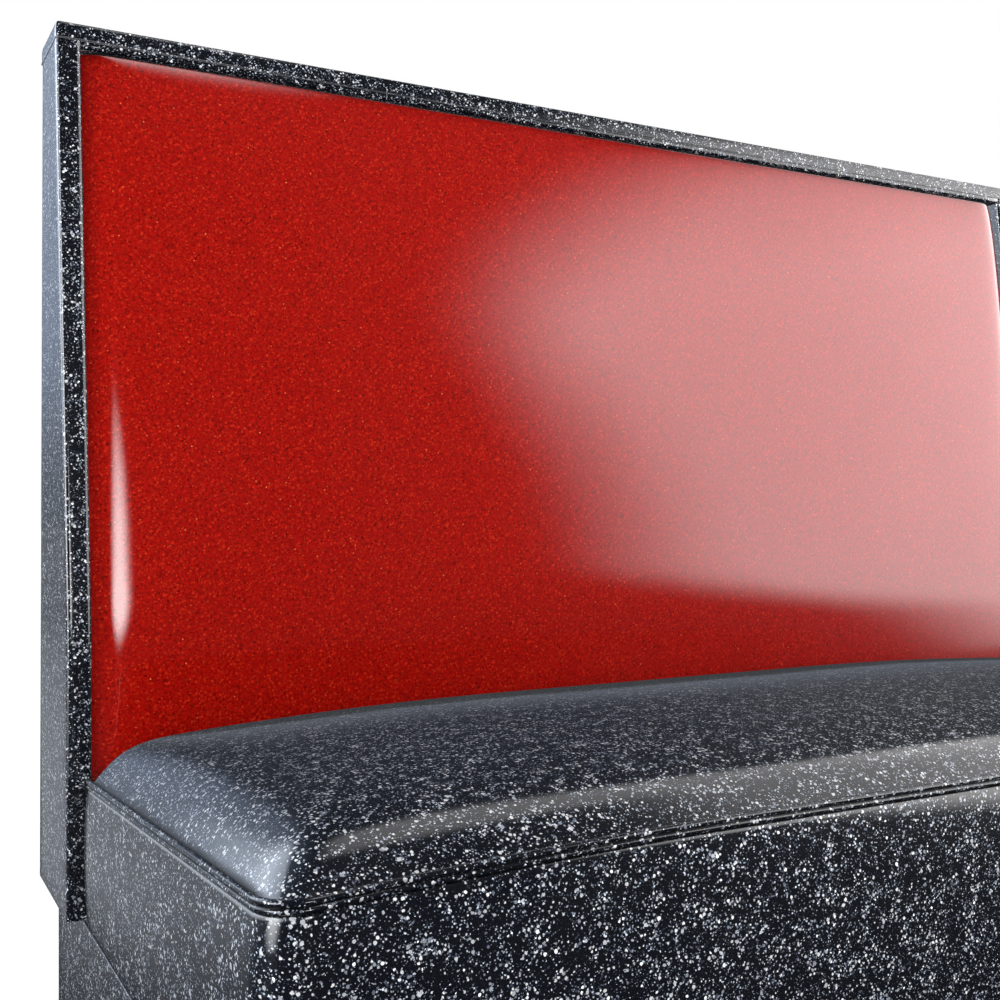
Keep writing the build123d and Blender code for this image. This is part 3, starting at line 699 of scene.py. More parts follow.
CUSHION_HALF = END_INNER - VINYL - 0.4 * MM
CUSHION_LOW = 342 * MM
CUSHION_HIGH = BAND_EDGE - 0.4 * MM
BEHIND = 0.2 * MM
DEEP = 7.5 * MM
SIDE_DEEP = 9 * MM
RIM_DEEP = 18 * MM
SIDE_ROLL = 14 * MM
WIDER_ROLL = 8 * MM
WIDEST_LEVEL = 620 * MM
WIDE_REACH = 130 * MM
TOP_ROLL = 150 * MM
LOW_ROLL = 60 * MM
CROWN_RISE = 5 * MM
CROWN_START = BEND_LEVEL + 30 * MM
CROWN_FULL = BEND_LEVEL + 330 * MM


def cushion_front(x, z, swell):
    """Y of the red cushion's face: deep rolls at its sides, crowned where nothing rubs on it."""
    width = 2 * CUSHION_HALF
    side = CUSHION_HALF - abs(x)
    tight = SIDE_ROLL + WIDER_ROLL * math.exp(-(((z - WIDEST_LEVEL) / WIDE_REACH) ** 2))
    from_top = share(CUSHION_HIGH - z, 0, TOP_ROLL)
    from_low = share(z - CUSHION_LOW, 0, LOW_ROLL)
    rolled = (1 - (1 - from_top) ** 2.6) ** (1 / 1.6) * (1 - (1 - from_low) ** 2) ** 0.5
    recess = (DEEP - BEHIND) * (1 - rolled) + SIDE_DEEP * (1 - math.tanh(side / tight))
    crown = looked_up(swell, (x + CUSHION_HALF) / width, (z - CUSHION_LOW) / (CUSHION_HIGH - CUSHION_LOW))
    climb = share(z, CROWN_START, CROWN_FULL)
    climb = climb * climb * (3 - 2 * climb)
    return front_at(z) + BEHIND + min(recess, RIM_DEEP) - CROWN_RISE * crown * climb


def back_cushion():
    """Red cushion cover over its foam, as one closed form."""
    width = 2 * CUSHION_HALF
    height = CUSHION_HIGH - CUSHION_LOW
    swell = swelling("back_swell", width, height, (60, 36))
    edge = [0, 0.3, 0.8, 1.5, 2.4, 3.5, 5, 7, 9.5, 12.5, 16.5, 21, 26, 31.5, 38, 45, 53, 62]
    edge = [e * MM for e in edge]
    xs = [-CUSHION_HALF + s for s in stations(width, edge, 11 * MM)]
    zs = [CUSHION_LOW + s for s in stations(height, edge, 11 * MM)]
    points = [(x, cushion_front(x, z, swell), z) for z in zs for x in xs]
    faces = grid_faces(len(zs), len(xs))
    moves = [
        lambda x, y, z, depth=depth: (x, front_at(z) + RIM_DEEP + depth, z)
        for depth in (1 * MM, 8 * MM, 25 * MM)
    ]
    skirted(points, faces, len(zs), len(xs), moves)
    piece = piece_from("red_back_cushion", points, faces, red_vinyl)
    piece.data.set_sharp_from_angle(angle=math.radians(50))
    return facing_out(piece)


cushion = settle(back_cushion(), "frame", "red_glitter_vinyl", "back_cushion_cover", "back_foam")


# Seat: welt line, crown and boxing

WELT_X = BASE_HALF - WELT_INSET
WELT_Y = SEAT_FRONT + WELT_INSET
WELT_REAR_Z = 409 * MM
WELT_CORNER_Z = 441 * MM
WELT_DROOP = 10 * MM
DROOP_REACH = 300 * MM
PAD_HALF = WELT_X - 2.2 * MM
PAD_FRONT = WELT_Y + 2.2 * MM
PAD_FLOOR = 390.4 * MM


def welt_front_level(x):
    """Height of the welt along the front: it droops towards the corners."""
    reach = min(max(PAD_HALF - abs(x), 0) / DROOP_REACH, 1)
    return WELT_CORNER_Z + WELT_DROOP * (1 - (1 - reach) ** 2)


def welt_side_level(y):
    """Height of the welt along the sides."""
    return WELT_REAR_Z + (WELT_CORNER_Z - WELT_REAR_Z) * (SEAT_REAR - y) / (SEAT_REAR - WELT_Y)


ROLL_SIDE = 90 * MM
ROLL_FRONT = 131 * MM
ROLL_HEIGHT = 30.7 * MM
ROLL_TURN = 26 * MM
MITRE = 11.0
CROWN_REACH = 390 * MM
REAR_RISE = 18.3 * MM
ARCH_RISE = 11.3 * MM
SWELL_RISE = 1.5 * MM


def seat_crown(x, y, swell):
    """Height of the seat cushion: rolls on three sides that meet in mitres, and a long crown."""
    side = max(PAD_HALF - abs(x), 0)
    ahead = max(y - PAD_FRONT, 0)
    ex = 1 - min(side / ROLL_SIDE, 1)
    ey = 1 - min(ahead / ROLL_FRONT, 1)
    from_edge = max(1 - (ex**MITRE + ey**MITRE) ** (1 / MITRE), 0)
    tight = ROLL_SIDE / ROLL_TURN
    rolled = math.tanh(tight * from_edge) / math.tanh(tight)
    crown = 1 - (1 - min(side / CROWN_REACH, 1)) ** 2
    front_top = welt_front_level(x) + ROLL_HEIGHT
    rear_top = WELT_REAR_Z + ROLL_HEIGHT + REAR_RISE * crown
    along = share(y, PAD_FRONT + 60 * MM, SEAT_REAR)
    top = front_top + (rear_top - front_top) * along
    top += 4 * ARCH_RISE * along * (1 - along) * (0.35 + 0.65 * crown)
    top += SWELL_RISE * (looked_up(swell, (x + PAD_HALF) / (2 * PAD_HALF), along) - 0.7)
    side_weight = ex**6 + 1e-6
    front_weight = ey**6 + 1e-6
    edge = welt_side_level(y) * side_weight + welt_front_level(x) * front_weight
    edge = edge / (side_weight + front_weight) + 0.2 * MM
    return edge + (top - edge) * rolled


def pad_front_line(x):
    """Y of the seat cushion's front edge at a place along the bench."""
    side = max(PAD_HALF - abs(x), 0)
    ex = 1 - min(side / ROLL_SIDE, 1)
    return PAD_FRONT + ROLL_FRONT * (1 - (1 - ex**MITRE) ** (1 / MITRE))


def seat_cushion():
    """Crowned seat cushion in its cover, one closed form that stands on the felt."""
    swell = swelling("seat_swell", 2 * PAD_HALF, SEAT_REAR - PAD_FRONT, (60, 24))
    edge = [0, 0.15, 0.5, 1.2, 2.4, 4, 6, 8.5, 12, 16, 21, 27, 34, 42, 51, 62, 75, 90]
    xs = [-PAD_HALF + s for s in stations(2 * PAD_HALF, [e * MM for e in edge], 12 * MM)]
    depths = [0, 0.0006, 0.002, 0.005, 0.01, 0.017, 0.026, 0.037, 0.05, 0.065, 0.082, 0.1, 0.118, 0.14]
    depths += [0.14 + 0.86 * i / 34 for i in range(1, 35)]
    points, creases = [], []
    for part in depths:
        for x in xs:
            start = pad_front_line(x)
            y = start + (SEAT_REAR - start) * part
            points.append((x, y, seat_crown(x, y, swell)))
            # Painted shade: the cover goes dark within about a millimetre of its edge, where it meets the
            # welt, and on its hidden skirt.
            near = min(0.45 * (PAD_HALF - abs(x)), (SEAT_REAR - start) * part)
            creases.append(0.97 * (1 - share(near, 0.9 * MM, 1.5 * MM)))
    faces = grid_faces(len(depths), len(xs))
    moves = [lambda x, y, z, drop=drop: (x, y, z + (PAD_FLOOR - z) * drop) for drop in (0.35, 1.0)]
    skirted(points, faces, len(depths), len(xs), moves)
    piece = piece_from("seat_cushion", points, faces, black_vinyl)
    marked(piece, "crease", creases + [1.0] * (len(points) - len(creases)))
    piece.data.set_sharp_from_angle(angle=math.radians(50))
    return facing_out(piece)


pad = settle(seat_cushion(), "seat", BLACK_SLOT, "seat_top_cover", "seat_foam")


def seat_edge_line(inset, corner, pitch=9 * MM):
    """Plan line round the seat from the rear left to the rear right, with its outward directions."""
    half = BASE_HALF - inset
    front = SEAT_FRONT + inset
    side = SEAT_REAR - front - corner
    count = round(side / pitch)
    line = [(-half, SEAT_REAR - side * i / count, -1.0, 0.0) for i in range(count + 1)]
    for start, way in ((180, -1), (270, 1)):
        for step in range(1, 12):
            angle = math.radians(start + 90 * step / 12)
            c, s = math.cos(angle), math.sin(angle)
            line.append((way * (half - corner) + corner * c, front + corner + corner * s, c, s))
        if way < 0:
            across = round(2 * (half - corner) / pitch)
            for i in range(across + 1):
                line.append((-half + corner + 2 * (half - corner) * i / across, front, 0.0, -1.0))
    return line + [(half, front + corner + side * i / count, 1.0, 0.0) for i in range(count + 1)]


def welt_level(x, y):
    """Height of the welt's middle at a point of the plan line, eased round the corner."""
    ahead = share(y, SEAT_FRONT, SEAT_FRONT + SEAT_CORNER)
    inward = share(BASE_HALF - abs(x), 0, SEAT_CORNER)
    side = welt_side_level(y)
    front = welt_front_level(x)
    weight = (1 - ahead) / max(1 - ahead + 1 - inward, 1e-9) if ahead < 1 else 0.0
    return side + (front - side) * weight


def seat_welt():
    """Piping: two rolls of vinyl, the cord above and the folded seam below it."""
    line = seat_edge_line(WELT_INSET, SEAT_CORNER - WELT_INSET)
    section = round_turn((1.0 * MM, -2.3 * MM), 2.05 * MM, -100, 62, 10)
    section += round_turn((1.1 * MM, 1.9 * MM), 2.15 * MM, -62, 200, 14)
    section += [(-1.7 * MM, -1.5 * MM), (-1.3 * MM, -3.9 * MM)]
    points = []
    for x, y, nx, ny in line:
        z = welt_level(x, y)
        points += [(x + nx * out, y + ny * out, z + up) for out, up in section]
    columns = len(section)
    faces = grid_faces(len(line), columns, closed=True)
    faces += [tuple(range(columns)), tuple(range(len(points) - columns, len(points)))]
    piece = piece_from("seat_piping", points, faces, black_vinyl)
    # Painted shade in the welt's grooves: between the two rolls, on the inner side against the cushion and
    # under the lower roll.
    valley_shade = []
    for out, up in section:
        between = 1 - share(abs(up + 0.25 * MM), 0.3 * MM, 0.95 * MM)
        inside = 1 - share(out, -0.4 * MM, 1.0 * MM)
        under = 1 - share(up, -3.8 * MM, -2.8 * MM)
        valley_shade.append(0.96 * max(between, inside, under))
    marked(piece, "crease", valley_shade * len(line))
    return facing_out(piece)


welt = settle(seat_welt(), "seat", BLACK_SLOT, "seat_welt")


def seat_boxing():
    """Padded vinyl band round the seat's front and sides, rolled in at both edges."""
    line = seat_edge_line(0.0, SEAT_CORNER)
    turn = 3.2 * MM
    lip = 1.6 * MM
    low = SEAT_UNDERSIDE + 0.1 * MM
    points, side_lip_highlight = [], []
    for x, y, nx, ny in line:
        top = welt_level(x, y) - 4.5 * MM
        section = [(-3.2 * MM, top - 0.2 * MM), (-2.2 * MM, top)]
        section += [(-lip * (1 - math.sin(a)), top - lip * (1 - math.cos(a))) for a in (0.5, 0.9, 1.3)]
        from_corner = share(BASE_HALF - SEAT_CORNER - abs(x), 0, 70 * MM)
        full = 0.4 + 0.6 * max(from_corner, share(abs(nx), 0.3, 0.7))
        for part in [0.01] + [step / 14 for step in range(1, 14)]:
            bulge = 3.2 * MM * full * (1 - math.exp(-part / 0.12)) * (1 - part**5)
            section.append((bulge, top - lip + (low + turn - top + lip) * part))
        section += [(-inset, z) for z, inset in turned_under(low, turn, (0, 22, 45, 67, 90))]
        section.append((-16 * MM, low))
        points += [(x + nx * out, y + ny * out, z) for out, z in section]
        # Painted highlight: a pale line on the lip of the boxing's top edge, full on the sides and fading
        # out towards the front.
        side_lip_highlight += [0.0, 0.0, 0.0, 0.0, nx**4] + [0.0] * (len(section) - 5)
    columns = len(points) // len(line)
    # Painted shade under the welt along the top edge, and on the turn under the bottom edge.
    crease = ([1.0, 1.0, 0.85, 0.4] + [0.0] * (columns - 6) + [0.6, 1.0]) * len(line)
    marks = {"crease": crease, "cut_edge": side_lip_highlight}
    return vinyl_sheet("seat_boxing_cover", points, columns, "-y", VINYL * 0.6, **marks)


boxed = ("seat_front_boxing", "seat_left_boxing", "seat_right_boxing")
boxing = settle(seat_boxing(), "seat", BLACK_SLOT, *boxed)


# Base: one wrapped shell of vinyl on the four sides


def base_wrap():
    """Vinyl on the base's ends, kick board and rear, rounded at its upright edges and turned under."""
    low = 8 * MM
    turn = 2.4 * MM
    straight = BASE_TOP - 4 * MM
    count = 26
    # Painted shade on the base's top under the seat and on its upper edge: the first rows are darkened.
    deep = [1.0, 1.0, 1.0, 0.6]
    rows = [(BASE_TOP + 0.12 * MM, inset * MM) for inset in (42, 20, 1.5)]
    rows += [(BASE_TOP - 0.1 * MM, 0.55 * MM), (BASE_TOP - 0.5 * MM, 0.15 * MM), (BASE_TOP - 1.3 * MM, 0.0)]
    rows += [(straight - (straight - low - turn) * i / count, 0.0) for i in range(count + 1)]
    rows += turned_under(low, turn, (30, 60, 90)) + [(low, 14 * MM)]
    points = []
    for z, inset in rows:
        radius = max(3.4 * MM - inset, 1 * MM)
        ring = plan_ring(BASE_HALF - inset, BASE_FRONT + inset, REAR_FACE - inset, radius, 60, 26)
        points += [(x, y, z) for x, y in ring]
    columns = len(points) // len(rows)
    deep += [0.0] * (len(rows) - len(deep))
    crease = [depth for depth in deep for _ in range(columns)]
    return vinyl_sheet("base_cover_wrap", points, columns, "-y", VINYL * 0.85, True, crease=crease)


covers = [f"base_{place}_cover" for place in ("left", "right", "front", "rear")]
settle(base_wrap(), "frame", BLACK_SLOT, *covers)


def rear_cover():
    """Vinyl stretched over the rear board, tight at its tacked edges and a little full between."""
    half = END_INNER - 0.2 * MM
    low, high = BACK_UNDERSIDE, CAP_SEAM - 0.4 * MM
    edge = [e * MM for e in (0, 1, 3, 7, 14, 24, 40)]
    xs = [-half + s for s in stations(2 * half, edge, 16 * MM)]
    zs = [low + s for s in stations(high - low, edge, 16 * MM)]
    points = []
    for z in zs:
        for x in xs:
            from_edge = min(half - abs(x), z - low, high - z) / edge[-1]
            full = 1 - (1 - min(from_edge, 1)) ** 2
            points.append((x, rear_at(z) - 0.9 * MM + 0.8 * MM * full, z))
    return vinyl_sheet("rear_panel_cover", points, len(xs), "y", VINYL * 0.7)


settle(rear_cover(), "frame", BLACK_SLOT, "back_rear_cover")


# Repeats: built once in a node tree and set out on points


class Pattern:
    """A geometry node tree that sets a small form on every point of a mesh."""

    def __init__(self, name):
        self.tree = bpy.data.node_groups.new(name, "GeometryNodeTree")
        face = self.tree.interface
        face.new_socket("Geometry", in_out="OUTPUT", socket_type="NodeSocketGeometry")
        face.new_socket("Places", in_out="INPUT", socket_type="NodeSocketGeometry")
        self.inputs = {}
        self.source = self.tree.nodes.new("NodeGroupInput")
        self.end = self.tree.nodes.new("NodeGroupOutput")

    def size(self, name, value):
        """A named input of the tree; returns its socket."""
        item = self.tree.interface.new_socket(name, in_out="INPUT", socket_type="NodeSocketFloat")
        self.inputs[item.identifier] = value
        return self.source.outputs[name]

    def node(self, kind, terms=(), **settings):
        """The first output of a new node of the tree."""
        return add(self.tree, kind, terms, **settings).outputs[0]

    def times(self, first, second):
        """The product of two terms."""
        return times(self.tree, first, second)

    def box(self, *sides):
        """A box of three sides, each a socket or a number."""
        size = self.node("ShaderNodeCombineXYZ", dict(enumerate(sides)))
        return self.node("GeometryNodeMeshCube", {"Size": size})

    def cone(self, sides, low, high, depth, **settings):
        """A cut cone that stands on the origin."""
        terms = {"Vertices": sides, "Radius Bottom": low, "Radius Top": high, "Depth": depth}
        return self.node("GeometryNodeMeshCone", terms, **settings)

    def moved(self, geometry, x=0.0, z=0.0):
        """Geometry shifted; a distance may be a socket."""
        place = self.node("ShaderNodeCombineXYZ", {0: x, 2: z})
        return self.node("GeometryNodeTransform", {"Geometry": geometry, "Translation": place})

    def joined(self, *parts):
        """Several geometries as one."""
        join = self.tree.nodes.new("GeometryNodeJoinGeometry")
        for part in reversed(parts):
            self.tree.links.new(part, join.inputs[0])
        return join.outputs[0]

    def set_out(self, form, material):
        """The form on each point, turned by the point's own turn, realized and given its material."""
        turn = self.node("GeometryNodeInputNamedAttribute", {"Name": "turn"}, data_type="FLOAT_VECTOR")
        terms = {"Points": self.source.outputs["Places"], "Instance": form, "Rotation": turn}
        self.finish(self.node("GeometryNodeInstanceOnPoints", terms), material)

    def finish(self, geometry, material):
        """Ends the tree in Realize Instances and Set Material."""
        real = self.node("GeometryNodeRealizeInstances", {0: geometry})
        painted = self.node("GeometryNodeSetMaterial", {"Geometry": real, "Material": material})
        self.tree.links.new(painted, self.end.inputs[0])

    def grown(self, name, places, turns=None, edges=()):
        """The tree's result on a set of places, as one plain mesh."""
        mesh = bpy.data.meshes.new(name)
        mesh.from_pydata(places, edges, [])
        turn = mesh.attributes.new("turn", "FLOAT_VECTOR", "POINT")
        flat = [c for t in (turns or [(0.0, 0.0, 0.0)] * len(places)) for c in t]
        turn.data.foreach_set("vector", flat)
        piece = bpy.data.objects.new(name, mesh)
        bpy.context.scene.collection.objects.link(piece)
        modifier = piece.modifiers.new("pattern", "NODES")
        modifier.node_group = self.tree
        for identifier, value in self.inputs.items():
            modifier[identifier] = value
        baked(piece)
        piece.data.polygons.foreach_set("use_smooth", [True] * len(piece.data.polygons))
        return piece


def staple_pattern():
    """A wire staple: a crown between two short legs."""
    made = Pattern("staple")
    crown = made.size("Crown", 10 * MM)
    wire = made.size("Wire", 0.9 * MM)
    leg = made.size("Leg", 2.5 * MM)
    post = made.box(wire, wire, leg)
    out = made.times(calc(made.tree, "SUBTRACT", crown, wire), 0.5)
    drop = made.times(leg, -0.5)
    legs = [made.moved(post, out, drop), made.moved(post, made.times(out, -1.0), drop)]
    made.set_out(made.joined(made.box(crown, wire, wire), *legs), zinc)
    return made


def nail_pattern():
    """The round head of a nail."""
    made = Pattern("nail_head")
    radius = made.size("Head radius", 3.4 * MM)
    rise = made.size("Head rise", 1.4 * MM)
    terms = {"Vertices": 14, "Side Segments": 2, "Radius Top": made.times(radius, 0.45)}
    terms |= {"Radius Bottom": radius, "Depth": rise}
    made.set_out(made.node("GeometryNodeMeshCone", terms), zinc)
    return made


def glide_pattern():
    """A floor glide: a flat bearing face and a rounded shoulder."""
    sides = 40
    made = Pattern("floor_glide")
    radius = made.size("Radius", 12 * MM)
    height = made.size("Height", 8 * MM)
    parts = []
    steps = ((0.0, 0.79), (0.06, 0.86), (0.16, 0.93), (0.3, 0.98), (0.45, 1.0), (1.0, 1.0))
    for (low, narrow), (high, wide) in zip(steps, steps[1:]):
        radii = made.times(radius, narrow), made.times(radius, wide)
        ring = made.cone(sides, *radii, made.times(height, high - low), fill_type="NONE")
        parts.append(made.moved(ring, z=made.times(height, low)))
    for rise, wide in ((None, made.times(radius, steps[0][1])), (height, radius)):
        disc = made.node("GeometryNodeMeshCircle", {"Vertices": sides, "Radius": wide}, fill_type="NGON")
        parts.append(disc if rise is None else made.moved(disc, z=rise))
    merged = made.node("GeometryNodeMergeByDistance", {0: made.joined(*parts), "Distance": 0.01 * MM})
    made.set_out(merged, glide_plastic)
    return made


def spring_pattern():
    """Round wire along a zigzag line, its corners bent to a radius."""
    made = Pattern("zigzag_spring")
    bend = made.size("Bend radius", 8 * MM)
    wire = made.size("Wire radius", SPRING_WIRE)
    line = made.node("GeometryNodeMeshToCurve", {0: made.source.outputs["Places"]})
    rounded = made.node("GeometryNodeFilletCurve", {"Curve": line, "Radius": bend, "Count": 7}, mode="POLY")
    round_wire = made.node("GeometryNodeCurvePrimitiveCircle", {"Radius": wire, "Resolution": 10})
    terms = {"Curve": rounded, "Profile Curve": round_wire, "Fill Caps": True}
    made.finish(made.node("GeometryNodeCurveToMesh", terms), spring_steel)
    return made


def dowel_pattern():
    """A beech dowel with a bevelled top."""
    made = Pattern("dowel")
    radius = made.size("Radius", 5 * MM)
    height = made.size("Height", 27 * MM)
    shank = made.cone(28, radius, radius, made.times(height, 0.92))
    tip = made.cone(28, radius, made.times(radius, 0.7), made.times(height, 0.08))
    made.set_out(made.joined(shank, made.moved(tip, z=made.times(height, 0.92))), timber)
    return made


# Springs under the seat
SPRING_LEVEL = RAIL_TOP + SPRING_WIRE
RAIL_INNER = BASE_HALF - BOXING - SEAT_RAIL
FRONT_BAR = SEAT_FRONT + BOXING + SEAT_RAIL / 2
REAR_BAR = SEAT_REAR - BOXING - SEAT_RAIL / 2
ROWS = 5
spring_places = [-RAIL_INNER + 2 * RAIL_INNER / ROWS * (i + 0.5) for i in range(ROWS)]
turns = 2 * round((REAR_BAR - FRONT_BAR) / (2 * 38 * MM))
pitch = (REAR_BAR - FRONT_BAR) / turns
swing = 23 * MM
tail = 20 * MM
points, edges = [], []
for x in spring_places:
    first = len(points)
    points.append((x - tail, FRONT_BAR, SPRING_LEVEL))
    for i in range(turns):
        way = 1 if i % 2 == 0 else -1
        points += [(x + way * swing, FRONT_BAR + step * pitch, SPRING_LEVEL) for step in (i, i + 1)]
    points.append((x + tail, REAR_BAR, SPRING_LEVEL))
    edges += [(k, k + 1) for k in range(first, len(points) - 1)]
springs = spring_pattern().grown("zigzag_spring_wires", points, edges=edges)
settle(springs, "seat", "spring_steel", "seat_springs")

# Nails in the spring clips' feet
NAIL_OUT = 7.2 * MM
NAIL_ACROSS = 8 * MM
clip_nails = [
    (x + across, bar + way * NAIL_OUT, RAIL_TOP + 1.2 * MM)
    for x in spring_places
    for bar, way in ((FRONT_BAR, -1), (REAR_BAR, 1))
    for across in (-NAIL_ACROSS, NAIL_ACROSS)
]
settle(nail_pattern().grown("clip_nail_heads", clip_nails), "seat", "zinc_steel")

# Floor glides and dowels
block_x = BASE_HALF - VINYL - BOARD - GLIDE_BLOCK / 2
glide_xs = (-block_x, BOARD / 2 + GLIDE_BLOCK / 2, block_x)
glide_ys = (
    BASE_FRONT + VINYL + BOARD + GLIDE_BLOCK / 2,
    REAR_FACE - VINYL - BOARD - GLIDE_BLOCK / 2,
)
glide_places = [(x, y, 0.0) for x in glide_xs for y in glide_ys]
settle(glide_pattern().grown("glide_pads", glide_places), "frame", "glide_plastic", "floor_glides")

DOWEL_FOOT = 274.7 * MM
DOWEL_IN = 92 * MM
dowel_x = BASE_HALF - BOXING - SEAT_RAIL / 2
dowel_ys = (BASE_FRONT + DOWEL_IN, FRONT_FACE - DOWEL_IN)
dowel_places = [(x, y, DOWEL_FOOT) for x in (-dowel_x, dowel_x) for y in dowel_ys]
settle(dowel_pattern().grown("beech_dowels", dowel_places), "frame", "timber", "locating_dowels")

# Staples through the dust cloth's edge into the seat's rails
STAPLE_LINE = BOXING + 22.5 * MM
cloth_z = SEAT_UNDERSIDE - 0.3 * MM
cloth_half = BASE_HALF - STAPLE_LINE
cloth_front, cloth_rear = SEAT_FRONT + STAPLE_LINE, SEAT_REAR - STAPLE_LINE
stapled, turns_of = [], []
count = 26
for i in range(count + 1):
    x = -cloth_half + 30 * MM + (2 * cloth_half - 60 * MM) * i / count
    stapled += [(x, y, cloth_z) for y in (cloth_front, cloth_rear)]
    turns_of += [(math.pi, 0.0, 0.0)] * 2
count = 9
for i in range(count + 1):
    y = cloth_front + 28 * MM + (cloth_rear - cloth_front - 56 * MM) * i / count
    stapled += [(x, y, cloth_z) for x in (-cloth_half, cloth_half)]
    turns_of += [(math.pi, 0.0, math.pi / 2)] * 2
settle(staple_pattern().grown("dust_cloth_staples", stapled, turns_of), "seat", "zinc_steel")

# Carried-over CAD nodes get their finishes
FINISHES = {
    plywood: (
        "back_left_end", "back_right_end", "back_lower_panel", "back_upper_panel", "back_centre_rib",
        "base_left_end", "base_right_end", "base_kick_board", "base_rear_board", "base_centre_rib",
        "base_deck",
    ),
    timber: (
        "base_corner_blocks", "back_top_rail", "back_left_lumbar_rail",
        "back_right_lumbar_rail", "seat_left_rail", "seat_right_rail", "seat_front_rail",
        "seat_rear_rail", "seat_centre_rail", "seat_corner_blocks",
    ),
    shade_dark_timber: ("back_sole_plate",),
    hardboard: ("back_rear_board",),
    felt_wool: ("seat_felt_pad",),
    dust_weave: ("seat_dust_cloth",),
    zinc: ("back_bolts", "back_bolt_washers", "back_bolt_nuts"),
    spring_steel: ("seat_spring_clips",),
    black_vinyl: ("seat_rear_boxing",),
}
replaced = {node for thing in bpy.data.objects for node in thing.get("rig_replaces", [])}
finished = set()
for finish, nodes in FINISHES.items():
    for node in nodes:
        for material_slot in frame["nodes"][node].material_slots:
            material_slot.material = finish
    finished |= set(nodes)
left_over = set(frame["nodes"]) - finished - replaced
assert not left_over, sorted(left_over)
assert not finished & replaced, sorted(finished & replaced)

# The gloss shows the studio, and of the booth no more than its welt and boxing
for thing in bpy.data.objects:
    if thing.type == "MESH":
        thing.visible_glossy = thing in (welt, boxing)


# Floor: near white to the camera, plain to diffuse light, dark in the gloss but for a painted pool of light
# to the left behind the booth


def floor_finish():
    """The studio floor, each kind of ray with its own tone."""
    material, tree, shader, place = material_tree("studio_floor")
    preset(shader, {"Roughness": 0.9, "Specular IOR Level": 0.1})
    rays = add(tree, "ShaderNodeLightPath").outputs
    parts = add(tree, "ShaderNodeSeparateXYZ", {0: place}).outputs
    x, y = parts["X"], parts["Y"]
    to_left = mapped(tree, x, -0.8, -0.62, 1, 0)
    behind = mapped(tree, y, 0.3, 1.3, 0, 1, smooth=True)
    behind = times(tree, behind, mapped(tree, y, 2.5, 6.5, 1, 0.4))
    # A painted pool of light on the floor, to the left behind the booth, seen only in the gloss.
    lit = times(tree, to_left, behind)
    tone = blended(tree, noise(tree, place, 3.0), (0.88, 0.88, 0.88), (0.9, 0.9, 0.9))
    in_gloss = blended(tree, lit, (0.02, 0.02, 0.021), (0.215, 0.225, 0.24))
    tone = blended(tree, rays["Is Glossy Ray"], tone, in_gloss)
    tone = blended(tree, rays["Is Diffuse Ray"], tone, (0.75, 0.75, 0.75))
    dress(tree, shader, Base_Color=tone)
    glow = add(tree, "ShaderNodeEmission", {"Color": (1, 1, 1, 1), "Strength": 1.0})
    glowing = times(tree, rays["Is Camera Ray"], 0.72)
    mixed = add(tree, "ShaderNodeMixShader", {0: glowing, 1: shader.outputs[0], 2: glow.outputs[0]})
    # In the gloss the studio's light reaches below the horizon, far out in front and to the left
    open_floor = add(tree, "ShaderNodeBsdfTransparent").outputs[0]
    far_left = calc(tree, "LESS_THAN", x, -2.5)
    far_left = times(tree, far_left, calc(tree, "LESS_THAN", y, 0.3))
    far_out = calc(tree, "MAXIMUM", calc(tree, "LESS_THAN", y, -2.5), far_left)
    far_out = times(tree, rays["Is Glossy Ray"], far_out)
    opened = add(tree, "ShaderNodeMixShader", {0: far_out, 1: mixed.outputs[0], 2: open_floor})
    output = next(node for node in tree.nodes if node.type == "OUTPUT_MATERIAL")
    tree.links.new(opened.outputs[0], output.inputs["Surface"])
    return material


reach = 30.0
corners = [(-reach, -reach, 0), (reach, -reach, 0), (reach, reach, 0), (-reach, reach, 0)]
floor = piece_from("studio_floor", corners, [(0, 1, 2, 3)], floor_finish(), smooth=False)


# World: white to the camera, a smooth fill to diffuse light, windows and panels to the gloss

BLACK = (0.0, 0.0, 0.0)
WHITE = (1.0, 1.0, 1.0)

world = bpy.data.worlds.new("studio")
bpy.context.scene.world = world
world.use_nodes = True
sky = world.node_tree
sky.nodes.clear()
direction = add(sky, "ShaderNodeTexCoord").outputs["Generated"]


def along(axis):
    """How far a ray goes along an axis."""
    terms = {0: direction, 1: axis}
    return add(sky, "ShaderNodeVectorMath", terms, operation="DOT_PRODUCT").outputs["Value"]


def window(strength, *edges):
    """A large soft light cut out of the sky by straight edges: an inward direction, a level, a softness."""
    mask = None
    for inward, level, soft in edges:
        cut = mapped(sky, along(inward), level - soft, level + soft, smooth=True)
        mask = cut if mask is None else times(sky, mask, cut)
    light = vector(sky, "SCALE", {0: (1.0, 0.98, 0.98), "Scale": strength})
    return blended(sky, mask, BLACK, light)


def panel(azimuth, elevation, wide, high, soft, colour, strength, square):
    """A soft light panel in the sky: azimuth from -Y towards +X, sizes in degrees; returns its colour."""
    a, e = math.radians(azimuth), math.radians(elevation)
    ahead = along((math.sin(a) * math.cos(e), -math.cos(a) * math.cos(e), math.sin(e)))
    across = along((math.cos(a), math.sin(a), 0))
    up = along((-math.sin(e) * math.sin(a), math.sin(e) * math.cos(a), math.cos(e)))
    powers = []
    for value, size in ((across, wide), (up, high)):
        angle = calc(sky, "ARCTAN2", value, calc(sky, "MAXIMUM", ahead, 1e-4))
        off = calc(sky, "DIVIDE", calc(sky, "ABSOLUTE", angle), math.radians(size / 2))
        powers.append(calc(sky, "POWER", off, square))
    off = calc(sky, "POWER", calc(sky, "ADD", *powers), 1 / square)
    mask = mapped(sky, off, 1 + soft, 1 - soft, smooth=True)
    mask = times(sky, mask, calc(sky, "GREATER_THAN", ahead, 0.0))
    return blended(sky, mask, BLACK, tuple(c * strength for c in colour))


